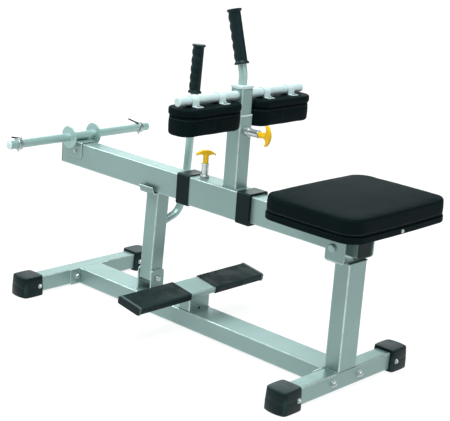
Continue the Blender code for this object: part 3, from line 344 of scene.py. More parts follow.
def spread(tree, value, low, high, to_low=0.0, to_high=1.0):
    """Maps the range low to high of a value onto another, smoothly."""
    node = tree.nodes.new("ShaderNodeMapRange")
    node.interpolation_type = "SMOOTHSTEP"
    settings = (("From Min", low), ("From Max", high), ("To Min", to_low), ("To Max", to_high))
    feed_all(tree, node, (("Value", value), *settings))
    return node.outputs[0]


def mixed(tree, factor, first, second):
    """A colour mix. Each of first and second is a socket or three numbers."""
    node = tree.nodes.new("ShaderNodeMix")
    node.data_type = "RGBA"
    tree.links.new(factor, node.inputs[MIX_FACTOR])
    for socket, value in ((MIX_FIRST, first), (MIX_SECOND, second)):
        colour = value if isinstance(value, bpy.types.NodeSocket) else (*value, 1.0)
        feed(tree, colour, node.inputs[socket])
    return node.outputs[MIX_RESULT]


def layered(tree, under, mask, share, over):
    """Lays one colour over another where a mask says, by at most a share."""
    return mixed(tree, math_node(tree, "MULTIPLY", mask, share), under, over)


def shade(colour, factor):
    return tuple(min(1.0, channel * factor) for channel in colour)


def powder_coat_group():
    """The pebbled skin of powder coat, with slow changes of tone."""
    inputs = [VECTOR_INPUT, ("Pebble scale", FLOAT, 700.0)]
    outputs = [("Height", FLOAT), ("Tone", FLOAT), ("Fleck", FLOAT)]
    tree, start, end = node_group("ShaderNodeTree", "powder coat", inputs, outputs)
    vector = start.outputs["Vector"]
    pebble = noise_node(tree, vector, start.outputs["Pebble scale"], roughness=0.55)
    tone = noise_node(tree, vector, scale=5.0, detail=3.0, roughness=0.6)
    fleck = noise_node(tree, vector, scale=1800.0, detail=0.0)
    tree.links.new(pebble, end.inputs["Height"])
    tree.links.new(spread(tree, tone, low=0.32, high=0.68), end.inputs["Tone"])
    tree.links.new(spread(tree, fleck, low=0.58, high=0.72), end.inputs["Fleck"])
    return tree


def edge_wear_and_highlight_group():
    """Where a rounded edge is lighter, partly from wear and partly as a painted highlight, broken
    up by noise.
    """
    inputs = [VECTOR_INPUT, ("Edge", FLOAT, 0.0)]
    tree, start, end = node_group("ShaderNodeTree", "edge wear and painted highlight", inputs, [("Wear", FLOAT)])
    patches = noise_node(tree, start.outputs["Vector"], scale=35.0, detail=4.0, roughness=0.6)
    patchy = spread(tree, patches, low=0.30, high=0.62, to_low=0.55)
    wear_and_highlight = math_node(tree, "MULTIPLY", start.outputs["Edge"], patchy, clamp=True)
    tree.links.new(wear_and_highlight, end.inputs["Wear"])
    return tree


def handling_group():
    """Faint smudges and dust, as masks that other values lean on."""
    inputs = [VECTOR_INPUT, ("Size", FLOAT, 14.0)]
    outputs = [("Smudge", FLOAT), ("Dust", FLOAT)]
    tree, start, end = node_group("ShaderNodeTree", "handling marks", inputs, outputs)
    vector, size = start.outputs["Vector"], start.outputs["Size"]
    smudge = noise_node(tree, vector, size, detail=4.0, roughness=0.55)
    dust = noise_node(tree, vector, scale=420.0, detail=3.0, roughness=0.7)
    tree.links.new(spread(tree, smudge, low=0.38, high=0.66), end.inputs["Smudge"])
    tree.links.new(spread(tree, dust, low=0.56, high=0.78), end.inputs["Dust"])
    return tree


def leather_grain_group():
    """The pressed grain of upholstery vinyl: small cells with fine creases between them."""
    inputs = [VECTOR_INPUT, ("Cell scale", FLOAT, 420.0)]
    outputs = [("Height", FLOAT), ("Crease", FLOAT)]
    tree, start, end = node_group("ShaderNodeTree", "leather grain", inputs, outputs)
    vector = start.outputs["Vector"]
    shift = tree.nodes.new("ShaderNodeVectorMath")
    shift.operation = "MULTIPLY_ADD"
    wander = noise_node(tree, vector, scale=130.0)
    feed_all(tree, shift, ((0, wander), (1, (0.004, 0.004, 0.004)), (2, vector)))
    cells = tree.nodes.new("ShaderNodeTexVoronoi")
    cells.feature = "DISTANCE_TO_EDGE"
    scale = start.outputs["Cell scale"]
    feed_all(tree, cells, (("Vector", shift.outputs[0]), ("Scale", scale)))
    crease = spread(tree, cells.outputs["Distance"], low=0.0, high=0.16)
    fine = math_node(tree, "MULTIPLY", noise_node(tree, vector, scale=1500.0), 0.25)
    tree.links.new(math_node(tree, "ADD", crease, fine), end.inputs["Height"])
    tree.links.new(crease, end.inputs["Crease"])
    return tree


def use_group(tree, group, vector, **given):
    node = tree.nodes.new("ShaderNodeGroup")
    node.node_tree = group
    feed(tree, vector, node.inputs["Vector"])
    feed_all(tree, node, ((label.replace("_", " "), value) for label, value in given.items()))
    return node.outputs


def surface(tree, shader, colour, roughness, height, strength, distance):
    """Gives a shader its colour, its roughness, and bumps from a height."""
    bump = tree.nodes.new("ShaderNodeBump")
    feed_all(tree, bump, (("Height", height), ("Strength", strength), ("Distance", distance)))
    looks = (("Base Color", colour), ("Roughness", roughness), ("Normal", bump.outputs["Normal"]))
    feed_all(tree, shader, looks)


def painted_steel(name, colour, groups, metallic, gloss, pebble):
    """Powder coat, worn and with a painted highlight on its edges. Gloss holds its least and most
    roughness.
    """
    material, tree, shader = material_tree(name)
    vector = object_vector(tree)
    coat = use_group(tree, groups["coat"], vector, Pebble_scale=pebble)
    marks = use_group(tree, groups["marks"], vector, Size=11.0)
    wear_and_highlight = use_group(tree, groups["wear_and_highlight"], vector, Edge=edge_value(tree))
    tone = mixed(tree, coat["Tone"], shade(colour, 0.98), shade(colour, 1.02))
    flecked = layered(tree, tone, coat["Fleck"], 0.16, shade(colour, 1.5))
    # The edges are painted near white, partly as wear and partly as a painted highlight.
    lightened = layered(tree, flecked, wear_and_highlight["Wear"], 0.62, EDGE_WEAR_AND_HIGHLIGHT_PAINT)
    roughness = spread(tree, marks["Smudge"], 0, 1, *gloss)
    surface(tree, shader, lightened, roughness, coat["Height"], strength=0.10, distance=0.0004)
    shader.inputs["Metallic"].default_value = metallic
    shader.inputs["Coat Weight"].default_value = 0.15
    shader.inputs["Coat Roughness"].default_value = 0.25
    return material


def plated_steel(name, colour, groups):
    """Brushed bare metal with smudges."""
    material, tree, shader = material_tree(name)
    vector = object_vector(tree)
    marks = use_group(tree, groups["marks"], vector, Size=60.0)
    wear_and_highlight = use_group(tree, groups["wear_and_highlight"], vector, Edge=edge_value(tree))
    stretch = tree.nodes.new("ShaderNodeMapping")
    feed_all(tree, stretch, (("Vector", vector), ("Scale", (1.0, 1.0, 0.06))))
    brushed = noise_node(tree, stretch.outputs[0], scale=2600.0, roughness=0.6)
    tone = mixed(tree, marks["Smudge"], shade(colour, 0.88), shade(colour, 1.06))
    # The edges are painted brighter, partly as wear and partly as a painted highlight.
    bright = layered(tree, tone, wear_and_highlight["Wear"], 0.5, EDGE_WEAR_AND_HIGHLIGHT_ZINC)
    roughness = spread(tree, brushed, low=0.3, high=0.7, to_low=0.24, to_high=0.40)
    surface(tree, shader, bright, roughness, brushed, strength=0.06, distance=0.0002)
    shader.inputs["Metallic"].default_value = 0.85
    return material


def moulded(name, colour, groups, gloss, grain, depth, lift, shine):
    """Rubber and plastic: a fine moulded grain, dust in it, and edges painted lighter, partly as
    wear and partly as a painted highlight.
    """
    material, tree, shader = material_tree(name)
    vector = object_vector(tree)
    coat = use_group(tree, groups["coat"], vector, Pebble_scale=grain)
    marks = use_group(tree, groups["marks"], vector, Size=18.0)
    wear_and_highlight = use_group(tree, groups["wear_and_highlight"], vector, Edge=edge_value(tree))
    tone = mixed(tree, coat["Tone"], shade(colour, 0.85), shade(colour, 1.25))
    dusty = layered(tree, tone, marks["Dust"], 0.25, shade(colour, 2.6))
    # The edges are painted lighter by lift, partly as wear and partly as a painted highlight.
    lightened = layered(tree, dusty, wear_and_highlight["Wear"], 0.7, shade(colour, lift))
    roughness = spread(tree, marks["Smudge"], 0, 1, *gloss)
    surface(tree, shader, lightened, roughness, coat["Height"], strength=0.16, distance=depth)
    shader.inputs["Specular IOR Level"].default_value = shine
    shader.inputs["Specular Tint"].default_value = (0.75, 1.0, 1.0, 1.0)
    return material


def upholstery_vinyl(name, colour, groups):
    """Grained vinyl, with painted shade in its creases, and a little rubbed."""
    material, tree, shader = material_tree(name)
    vector = object_vector(tree)
    grain = use_group(tree, groups["grain"], vector, Cell_scale=430.0)
    marks = use_group(tree, groups["marks"], vector, Size=9.0)
    # Painted shade: the grain's creases are darker.
    crease_shaded = mixed(tree, grain["Crease"], shade(colour, 0.55), shade(colour, 1.15))
    lightened = layered(tree, crease_shaded, marks["Smudge"], 0.15, shade(colour, 1.7))
    roughness = spread(tree, marks["Smudge"], low=0, high=1, to_low=0.58, to_high=0.61)
    surface(tree, shader, lightened, roughness, grain["Height"], strength=0.28, distance=0.0005)
    shader.inputs["Specular IOR Level"].default_value = 0.04
    shader.inputs["Specular Tint"].default_value = (0.70, 1.0, 1.0, 1.0)
    return material


def thread(name, colour):
    """Twisted sewing thread."""
    material, tree, shader = material_tree(name)
    twist = noise_node(tree, object_vector(tree), scale=2400.0, detail=1.0)
    twisted = mixed(tree, twist, shade(colour, 0.7), shade(colour, 1.5))
    surface(tree, shader, twisted, 0.62, twist, strength=0.3, distance=0.0003)
    return material


FINISHES = {}


def slot_finish(node):
    return FINISHES[SLOTS[node]]


# ------------------------------------------------------------------ meshes


def new_object(name, data):
    obj = bpy.data.objects.new(name, data)
    bpy.context.scene.collection.objects.link(obj)
    return obj


def new_piece(name, mesh):
    mesh.name = name
    return new_object(name, mesh)


def plain_mesh(obj, name):
    """The evaluated mesh of a curve or a modified object, as a piece of its own."""
    bpy.context.view_layer.update()
    graph = bpy.context.evaluated_depsgraph_get()
    mesh = bpy.data.meshes.new_from_object(obj.evaluated_get(graph), depsgraph=graph)
    data = obj.data
    bpy.data.objects.remove(obj, do_unlink=True)
    if data.users == 0:
        holder = bpy.data.curves if isinstance(data, bpy.types.Curve) else bpy.data.meshes
        holder.remove(data)
    return new_piece(name, mesh)


def settle(obj, body, material=None, replaced=()):
    """Gives a finished piece its material, its body and the nodes it stands for."""
    if material is not None:
        obj.data.materials.clear()
        obj.data.materials.append(material)
    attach(obj, body)
    if replaced:
        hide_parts(*replaced)


def smooth(mesh, degrees):
    mesh.shade_smooth()
    mesh.set_sharp_from_angle(angle=math.radians(degrees))


def read(items, name, kind=np.float64, width=1):
    """One property of all points, faces or corners of a mesh, as an array."""
    flat = np.empty(len(items) * width, kind)
    items.foreach_get(name, flat)
    return flat.reshape(-1, width) if width > 1 else flat


def coordinates(mesh):
    return read(mesh.vertices, "co", width=3)


def write_coordinates(mesh, points):
    mesh.vertices.foreach_set("co", np.asarray(points, np.float64).ravel())
    mesh.update()


def mark_edges(mesh, least=EDGE_TURN):
    """Writes on each point how sharply the surface turns there, for the edge wear and the painted
    edge highlight.

    A point of any face wider than WIDEST_RIM counts as no edge, so that the wear and the painted
    highlight stay on the rounded rims.
    """
    points = coordinates(mesh)
    corner_point = read(mesh.loops, "vertex_index", np.int32)
    corners = read(mesh.polygons, "loop_total", np.int32)
    starts = read(mesh.polygons, "loop_start", np.int32)

    total = np.zeros(points.shape)
    normals = read(mesh.polygons, "normal", width=3)
    np.add.at(total, corner_point, np.repeat(normals, corners, axis=0))
    faces = np.bincount(corner_point, minlength=len(points))
    turned = 1 - np.linalg.norm(total, axis=1) / np.maximum(faces, 1)

    following = np.arange(1, len(corner_point) + 1)
    following[starts + corners - 1] = starts
    sides = np.linalg.norm(points[corner_point] - points[corner_point[following]], axis=1)
    longest = np.maximum.reduceat(sides, starts)
    width = read(mesh.polygons, "area") / np.maximum(longest, TINY)
    widest = np.zeros(len(points))
    np.maximum.at(widest, corner_point, np.repeat(width, corners))

    edge = np.clip((turned - least) / EDGE_TURN_SPAN, 0, 1) * (widest < WIDEST_RIM)
    attribute = mesh.attributes.new("edge", "FLOAT", "POINT")
    attribute.data.foreach_set("value", edge.astype(np.float32))


def edged_copy(node, width):
    """A node's solid with whole faces again and its sharp edges rounded over."""
    mesh = NODES[node].data.copy()
    mesh.materials.clear()
    work = bmesh.new()
    work.from_mesh(mesh)
    bmesh.ops.remove_doubles(work, verts=work.verts, dist=MERGE_DISTANCE)
    bmesh.ops.dissolve_degenerate(work, dist=MERGE_DISTANCE, edges=work.edges)
    bmesh.ops.dissolve_limit(
        work,
        angle_limit=math.radians(MERGE_DEGREES),
        use_dissolve_boundaries=False,
        verts=work.verts,
        edges=work.edges,
    )
    work.to_mesh(mesh)
    work.free()
    smooth(mesh, SHARP_DEGREES)
    name = f"{node}_edged"
    obj = new_piece(f"{name}_source", mesh)
    bevel = obj.modifiers.new("edge rounding", "BEVEL")
    bevel.width = width
    bevel.segments = ROUNDING_SEGMENTS
    bevel.limit_method = "ANGLE"
    bevel.angle_limit = math.radians(ROUNDED_DEGREES)
    bevel.use_clamp_overlap = True
    weighted = obj.modifiers.new("flat faces stay flat", "WEIGHTED_NORMAL")
    weighted.keep_sharp = True
    piece = plain_mesh(obj, name)
    mark_edges(piece.data, EDGE_TURN_ROUND if node in ROUND else EDGE_TURN)
    return piece


def bowed(width, length, radius, bow, steps, splits):
    """A rounded rectangle in plan whose sides bow outwards, as a list of points.

    Each corner has steps parts and each side has splits.
    """

    def on_corner(side_u, side_v, degrees):
        angle = math.radians(degrees)
        return (
            side_u * (width / 2 - radius) + radius * math.cos(angle),
            side_v * (length / 2 - radius) + radius * math.sin(angle),
        )

    points = []
    corners = ((1, -1, -90), (1, 1, 0), (-1, 1, 90), (-1, -1, 180))
    for number, (side_u, side_v, start) in enumerate(corners):
        points += [on_corner(side_u, side_v, start + 90 * i / steps) for i in range(steps + 1)]
        from_u, from_v = points[-1]
        goal_u, goal_v = on_corner(*corners[(number + 1) % 4])
        for share in (i / splits for i in range(1, splits)):
            points.append((from_u + (goal_u - from_u) * share, from_v + (goal_v - from_v) * share))
    outline = []
    for u, v in points:
        along_u, along_v = 2 * u / width, 2 * v / length
        grow_u = 2 * bow * (1 - along_v**2) / width
        grow_v = 2 * bow * (1 - along_u**2) / length
        outline.append((u * (1 + grow_u), v * (1 + grow_v)))
    return outline


def drawn_in(size, inset, radius, bow, steps, splits):
    """The bowed outline that reaches a size along x and y, drawn in by an inset."""
    length, width = size
    inner_length, inner_width = length - 2 * bow - 2 * inset, width - 2 * bow - 2 * inset
    return bowed(inner_length, inner_width, radius, bow, steps, splits)


def level_ring(outline, middle, z):
    """An outline in plan, set round a middle at a height."""
    return [(u + middle.x, v + middle.y, z) for u, v in outline]


def turns(count):
    return [2 * math.pi * i / count for i in range(count)]


def skin(name, rings):
    """A closed mesh through rings of equal count, fanned shut at both ends."""
    work = bmesh.new()
    rows = [[work.verts.new(point) for point in ring] for ring in rings]
    for low, high in zip(rows, rows[1:]):
        for i in range(len(low)):
            j = (i + 1) % len(low)
            work.faces.new((low[i], low[j], high[j], high[i]))
    for row in (rows[0], rows[-1]):
        middle = work.verts.new(sum((vert.co for vert in row), Vector()) / len(row))
        for i in range(len(row)):
            work.faces.new((row[i], row[(i + 1) % len(row)], middle))
    bmesh.ops.recalc_face_normals(work, faces=work.faces)
    mesh = bpy.data.meshes.new(name)
    work.to_mesh(mesh)
    work.free()
    mesh.shade_smooth()
    return new_piece(name, mesh)


def swept(name, points, radius):
    """A round cord that runs through points and back to the first, such as piping."""
    curve = bpy.data.curves.new(name, "CURVE")
    curve.dimensions = "3D"
    curve.bevel_depth = radius
    curve.bevel_resolution = 3
    spline = curve.splines.new("POLY")
    spline.points.add(len(points) - 1)
    for target, point in zip(spline.points, points):
        target.co = (*point, 1)
    spline.use_cyclic_u = True
    piece = plain_mesh(new_object(f"{name}_line", curve), name)
    smooth(piece.data, 60)
    return piece


def stuff(obj, voxel, reach):
    """Remeshes a cut cover evenly, then lets pressure round it as cloth.

    No point moves further than reach.
    """
    bpy.context.view_layer.objects.active = obj
    for other in bpy.context.selected_objects:
        other.select_set(False)
    obj.select_set(True)
    obj.data.remesh_voxel_size = voxel
    bpy.ops.object.voxel_remesh()
    if reach == 0:
        return obj
    cut = coordinates(obj.data)
    cloth = obj.modifiers.new("stuffing", "CLOTH")
    cloth.settings.use_pressure = True
    cloth.settings.uniform_pressure_force = STUFFING_PRESSURE
    cloth.settings.effector_weights.gravity = 0
    cloth.settings.quality = STUFFING_QUALITY
    cloth.point_cache.frame_start = 1
    cloth.point_cache.frame_end = STUFFING_FRAMES
    scene = bpy.context.scene
    for number in range(1, STUFFING_FRAMES + 1):
        scene.frame_set(number)
    graph = bpy.context.evaluated_depsgraph_get()
    swollen = obj.evaluated_get(graph).to_mesh()
    moved = coordinates(swollen) - cut
    obj.evaluated_get(graph).to_mesh_clear()
    obj.modifiers.remove(cloth)
    scene.frame_set(1)
    length = np.linalg.norm(moved, axis=1, keepdims=True)
    write_coordinates(obj.data, cut + moved * np.minimum(1, reach / np.maximum(length, TINY)))
    return obj


def refined(obj, name):
    """One subdivision level, applied."""
    subdivision = obj.modifiers.new("finer cover", "SUBSURF")
    subdivision.levels = 1
    subdivision.render_levels = 1
    obj.name = f"{name}_source"
    piece = plain_mesh(obj, name)
    piece.data.shade_smooth()
    return piece


def fit(mesh, low, high):
    """Stretches a cover so that it fills the room from low to high again."""
    points = coordinates(mesh)
    least, most = points.min(axis=0), points.max(axis=0)
    share = (points - least) / (most - least)
    write_coordinates(mesh, np.array(low) + share * (np.array(high) - np.array(low)))


def slow_noise(points, scale, seed):
    shift = Vector((seed, 0, 0))
    return np.array([noise.noise(Vector(point) * scale + shift) for point in points])


def gather(obj, seam_z, towards, depth, seed, amount):
    """Puckers a cover along its seam, pleats its corners and lets its sides wander, as if sewn.

    The cover lies above its seam where towards is 1 and below it where that is -1.
    """
    tuck, pucker_height, pleat_height, wave, ripple = 0.0007, 0.00045, 0.0006, 0.0009, 0.0004
    pucker_pitch, pleats = 0.026, 22
    points = coordinates(obj.data)
    normals = read(obj.data.vertices, "normal", width=3)
    plan = np.abs(normals[:, :2])
    side = np.clip(1 - np.abs(normals[:, 2]) * 1.3, 0, 1)
    rise = np.clip((points[:, 2] - seam_z) * towards / depth, 0, 1)
    along = points[:, 0] * plan[:, 1] + points[:, 1] * plan[:, 0]
    corner = np.clip(plan[:, 0] * plan[:, 1] * 2, 0, 1)
    pucker = np.sin(along * 2 * math.pi / pucker_pitch + 5 * slow_noise(points, 9.0, seed))
    pucker *= np.clip(slow_noise(points, 11.0, seed + 20) * 2.5, 0, 1)
    pleat = np.sin(np.arctan2(normals[:, 1], normals[:, 0]) * pleats)
    near_seam = (1 - rise) ** 2
    move = -tuck * near_seam * side + pucker_height * pucker * (1 - rise) * side
    move += pleat_height * pleat * corner**2 * side * (1 - rise * 0.6)
    move += wave * slow_noise(points, 14.0, seed + 3) * (0.35 + 0.65 * side)
    move += ripple * slow_noise(points, 42.0, seed + 9) * side
    write_coordinates(obj.data, points + normals * (move * amount)[:, None])


def lie_on(mesh, height, above):
    """Presses the part of a cover that would pass its support flat against it."""
    points = coordinates(mesh)
    limit = np.maximum if above else np.minimum
    points[:, 2] = limit(points[:, 2], height)
    write_coordinates(mesh, points)


def on_surface(obj, points, lift):
    """The nearest places on a piece to some points, lifted off it a little."""
    tree = BVHTree.FromObject(obj, bpy.context.evaluated_depsgraph_get())
    found = []
    for point in points:
        place, normal, _, _ = tree.find_nearest(Vector(point))
        found.append(place + normal * lift)
    return found


# ---------------------------------------------------------- geometry nodes


def geometry_group(name, inputs):
    """A geometry tree that also takes the material for what it makes."""
    inputs = [("Geometry", "NodeSocketGeometry", None), *inputs]
    inputs.append(("Material", "NodeSocketMaterial", None))
    outputs = [("Geometry", "NodeSocketGeometry")]
    return node_group("GeometryNodeTree", name, inputs, outputs)


def raised(tree, geometry, height):
    """Moves a primitive up its own axis."""
    place = tree.nodes.new("ShaderNodeCombineXYZ")
    feed(tree, height, place.inputs["Z"])
    move = tree.nodes.new("GeometryNodeTransform")
    feed_all(tree, move, (("Geometry", geometry), ("Translation", place.outputs[0])))
    return move.outputs["Geometry"]


def frustum(tree, sides, low_radius, high_radius, depth):
    cone = tree.nodes.new("GeometryNodeMeshCone")
    radii = (("Radius Bottom", low_radius), ("Radius Top", high_radius))
    feed_all(tree, cone, (("Vertices", sides), *radii, ("Depth", depth)))
    return cone.outputs["Mesh"]


def repeat(tree, points, shape, facing, start, end):
    """Ends a tree with real copies of a shape on points, in the material that it was handed.

    Each copy's own axis is turned to face the way that its point gives.
    """
    turn = tree.nodes.new("FunctionNodeAlignRotationToVector")
    turn.axis = "Z"
    feed(tree, facing, turn.inputs["Vector"])
    copies = tree.nodes.new("GeometryNodeInstanceOnPoints")
    rotation = turn.outputs["Rotation"]
    feed_all(tree, copies, (("Points", points), ("Instance", shape), ("Rotation", rotation)))
    realise = tree.nodes.new("GeometryNodeRealizeInstances")
    feed(tree, copies.outputs["Instances"], realise.inputs["Geometry"])
    paint = tree.nodes.new("GeometryNodeSetMaterial")
    plain, material = realise.outputs["Geometry"], start.outputs["Material"]
    feed_all(tree, paint, (("Geometry", plain), ("Material", material)))
    feed(tree, paint.outputs["Geometry"], end.inputs["Geometry"])


def bolt_heads_tree():
    """A hexagon head on a washer at each point, facing the way that the point's attribute says."""
    inputs = [
        ("Head width", FLOAT, 0.016),
        ("Head height", FLOAT, 0.0055),
        ("Washer width", FLOAT, 0.022),
        ("Washer height", FLOAT, 0.0014),
        ("Stud height", FLOAT, 0.0),
    ]
    tree, start, end = geometry_group("bolt heads on points", inputs)
    given = start.outputs

    def share(label, part):
        return math_node(tree, "MULTIPLY", given[label], part)

    washer_height = given["Washer height"]
    head_radius, crown_radius = share("Head width", 0.5), share("Head width", 0.43)
    washer_radius, stud_radius = share("Washer width", 0.5), share("Head width", 0.27)
    lower, upper = share("Head height", 0.78), share("Head height", 0.22)
    level = math_node(tree, "ADD", washer_height, lower)
    tip = math_node(tree, "ADD", given["Head height"], washer_height)
    join = tree.nodes.new("GeometryNodeJoinGeometry")
    for part in (
        frustum(tree, 28, washer_radius, washer_radius, washer_height),
        raised(tree, frustum(tree, 6, head_radius, head_radius, lower), washer_height),
        raised(tree, frustum(tree, 6, head_radius, crown_radius, upper), level),
        raised(tree, frustum(tree, 14, stud_radius, stud_radius, given["Stud height"]), tip),
    ):
        tree.links.new(part, join.inputs["Geometry"])
    facing = tree.nodes.new("GeometryNodeInputNamedAttribute")
    facing.data_type = "FLOAT_VECTOR"
    facing.inputs["Name"].default_value = "facing"
    head, way = join.outputs["Geometry"], facing.outputs["Attribute"]
    repeat(tree, given["Geometry"], head, way, start, end)
    return tree


def along_path_tree(name, shape, more_inputs=()):
    """Repeats a small shape, given as a function of the tree, along a line of edges."""
    inputs = [("Spacing", FLOAT, 0.004), ("Radius", FLOAT, 0.001), *more_inputs]
    tree, start, end = geometry_group(name, inputs)
    line = tree.nodes.new("GeometryNodeMeshToCurve")
    feed(tree, start.outputs["Geometry"], line.inputs["Mesh"])
    even = tree.nodes.new("GeometryNodeResampleCurve")
    even.mode = "LENGTH"
    path, spacing = line.outputs["Curve"], start.outputs["Spacing"]
    feed_all(tree, even, (("Curve", path), ("Length", spacing)))
    tangent = tree.nodes.new("GeometryNodeInputTangent").outputs[0]
    repeat(tree, even.outputs["Curve"], shape(tree, start.outputs), tangent, start, end)
    return tree


def stitches_tree():
    """Short rods along a seam, each centred on its place."""

    def rod(tree, given):
        upright = frustum(tree, 6, given["Radius"], given["Radius"], given["Length"])
        return raised(tree, upright, math_node(tree, "MULTIPLY", given["Length"], -0.5))

    return along_path_tree("stitches along seam", rod, [("Length", FLOAT, 0.003)])


def beads_tree():
    """Small balls along a weld, each overlapping the next."""

    def ball(tree, given):
        sphere = tree.nodes.new("GeometryNodeMeshUVSphere")
        feed_all(tree, sphere, (("Segments", 10), ("Rings", 6), ("Radius", given["Radius"])))
        return sphere.outputs["Mesh"]

    return along_path_tree("beads along weld", ball)


def grown(name, mesh, tree, **given):
    """Applies a tree to a mesh of points or lines, and returns the plain mesh that it makes."""
    source = new_piece(f"{name}_source", mesh)
    modifier = source.modifiers.new(tree.name, "NODES")
    modifier.node_group = tree
    for item in tree.interface.items_tree:
        label = item.name.replace(" ", "_")
        if item.item_type == "SOCKET" and item.in_out == "INPUT" and label in given:
            modifier[item.identifier] = given[label]
    return plain_mesh(source, name)


def lines_mesh(name, loops):
    """Closed loops of points as a mesh of edges."""
    mesh = bpy.data.meshes.new(name)
    points, edges = [], []
    for loop in loops:
        first = len(points)
        points += [tuple(point) for point in loop]
        edges += [(first + i, first + (i + 1) % len(loop)) for i in range(len(loop))]
    mesh.from_pydata(points, edges, [])
    return mesh


def spots_mesh(name, spots):
    """A mesh of loose points, each with the way that it faces."""
    mesh = bpy.data.meshes.new(name)
    mesh.from_pydata([spot for spot, _ in spots], [], [])
    facing = mesh.attributes.new("facing", "FLOAT_VECTOR", "POINT")
    facing.data.foreach_set("vector", [number for _, way in spots for number in way])
    return mesh


def piped(name, cushion, guide, lift, radius, body):
    """A cord of piping that follows a guide on a cushion."""
    cord = swept(name, on_surface(cushion, guide, lift), radius)
    settle(cord, body, FINISHES["vinyl"])


def sewn(name, cushion, guide, radius, body, tree):
    """A row of stitches that follows a guide on a cushion."""
    spacing = bpy.context.scene.calf_raise_look.stitch_spacing
    stitches = grown(
        name,
        lines_mesh(name, [on_surface(cushion, guide, lift=0.0001)]),
        tree,
        Spacing=spacing,
        Radius=radius,
        Length=spacing * 0.62,
        Material=FINISHES["thread"],
    )
    settle(stitches, body)


# --------------------------------------------------------------- operators


class CALFRAISE_OT_finishes(bpy.types.Operator):
    """Make the finish of each material slot"""

    bl_idname = "calf_raise.finishes"
    bl_label = "Finishes"

    def execute(self, context):
        look = context.scene.calf_raise_look
        groups = {
            "coat": powder_coat_group(),
            "wear_and_highlight": edge_wear_and_highlight_group(),
            "marks": handling_group(),
            "grain": leather_grain_group(),
        }
        paint, pale = look.paint_colour, look.pale_colour
        rubber, plastic = look.rubber_colour, look.plastic_colour
        # Slot, name, colour, metallic, gloss, pebble.
        paints = (
            ("frame_paint", "silver green powder coat", paint, 0.5, (0.36, 0.40), 650.0),
            ("pale_paint", "pale silver powder coat", pale, 0.15, (0.30, 0.34), 800.0),
            ("bar_paint", "satin bar coat", shade(paint, 1.4), 0.3, (0.28, 0.32), 800.0),
        )
        # Slot, name, colour, and then gloss, grain, depth, lift and shine. Lift is how much lighter
        # the edges are painted, partly wear and partly a painted highlight.
        mouldings = (
            ("rubber", "matt rubber", rubber, ((0.50, 0.66), 1100.0, 0.0005, 4.0, 0.18)),
            ("cap_rubber", "polished rubber", rubber, ((0.34, 0.38), 1500.0, 0.0002, 4.0, 0.13)),
            # The footrest ribs' pale rubber is a painted highlight.
            (
                "scuffed_rubber",
                "scuffed rubber",
                RIB_HIGHLIGHT_COLOUR,
                ((0.45, 0.55), 1500.0, 0.0002, 1.5, 0.3),
            ),
            (
                "black_plastic",
                "black moulded plastic",
                plastic,
                ((0.28, 0.34), 1400.0, 0.0002, 4.0, 0.10),
            ),
            (
                "yellow_plastic",
                "yellow moulded plastic",
                look.knob_colour,
                ((0.30, 0.42), 900.0, 0.0002, 1.3, 0.18),
            ),
        )
        for slot, name, colour, metallic, gloss, pebble in paints:
            FINISHES[slot] = painted_steel(name, colour, groups, metallic, gloss, pebble)
        FINISHES["zinc"] = plated_steel("zinc plated steel", look.steel_colour, groups)
        for slot, name, colour, feel in mouldings:
            FINISHES[slot] = moulded(name, colour, groups, *feel)
        FINISHES["vinyl"] = upholstery_vinyl("black upholstery vinyl", look.vinyl_colour, groups)
        FINISHES["bronze"] = plated_steel("bearing bronze", BRONZE_COLOUR, groups)
        FINISHES["thread"] = thread("bonded thread", THREAD_COLOUR)
        for node, obj in NODES.items():
            obj.data.materials.clear()
            obj.data.materials.append(slot_finish(node))
        return {"FINISHED"}


class CALFRAISE_OT_steelwork(bpy.types.Operator):
    """Round the edges of the frame, the plates and the small parts"""

    bl_idname = "calf_raise.steelwork"
    bl_label = "Steelwork and small parts"

    def execute(self, context):
        width = context.scene.calf_raise_look.edge_rounding
        for node in sorted(set(NODES) - FORMED):
            piece = edged_copy(node, ROUNDING.get(node, width))
            finish = FINISHES["bar_paint"] if node in BARS else slot_finish(node)
            settle(piece, BODIES[node], finish, [node])
        return {"FINISHED"}


class CALFRAISE_OT_foot_caps(bpy.types.Operator):
    """Mould the four rubber foot caps, each with its stepped skirt and domed end"""

    bl_idname = "calf_raise.foot_caps"
    bl_label = "Foot caps"

    def execute(self, context):
        gap, bow, largest_corner = 0.0008, 0.002, 0.008
        dome, dome_room, inner_swell = 0.011, 0.012, 0.0009
        for node, sign in FOOT_CAPS.items():
            low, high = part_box(node)
            middle = (low + high) / 2
            width, length = high.x - low.x - gap, high.y - low.y
            top = high.z - low.z
            rings = []
            for z, inset in (*CAP_SIDES, *((top - drop, inset) for drop, inset in CAP_TOP)):
                inner_width = width - 2 * inset
                corner = min(largest_corner, 0.3 * inner_width)
                outline = bowed(
                    width - 2 * bow - 2 * inset, length - dome_room - 2 * inset, corner, bow, 5, 10
                )
                ring = []
                for u, v in outline:
                    outward = v * sign / (length / 2)
                    bulge = dome * max(0.0, outward) ** 2 * (1 - (2 * u / width) ** 2 * 0.75)
                    shift = bulge - dome_room / 2 + inner_swell * (1 - outward)
                    ring.append((u + middle.x, v + sign * shift + middle.y, z + low.z))
                rings.append(ring)
            cap = skin(f"{node}_moulded", rings)
            smooth(cap.data, 50)
            mark_edges(cap.data, 0.02)
            settle(cap, BODIES[node], FINISHES["cap_rubber"], [node])
        return {"FINISHED"}


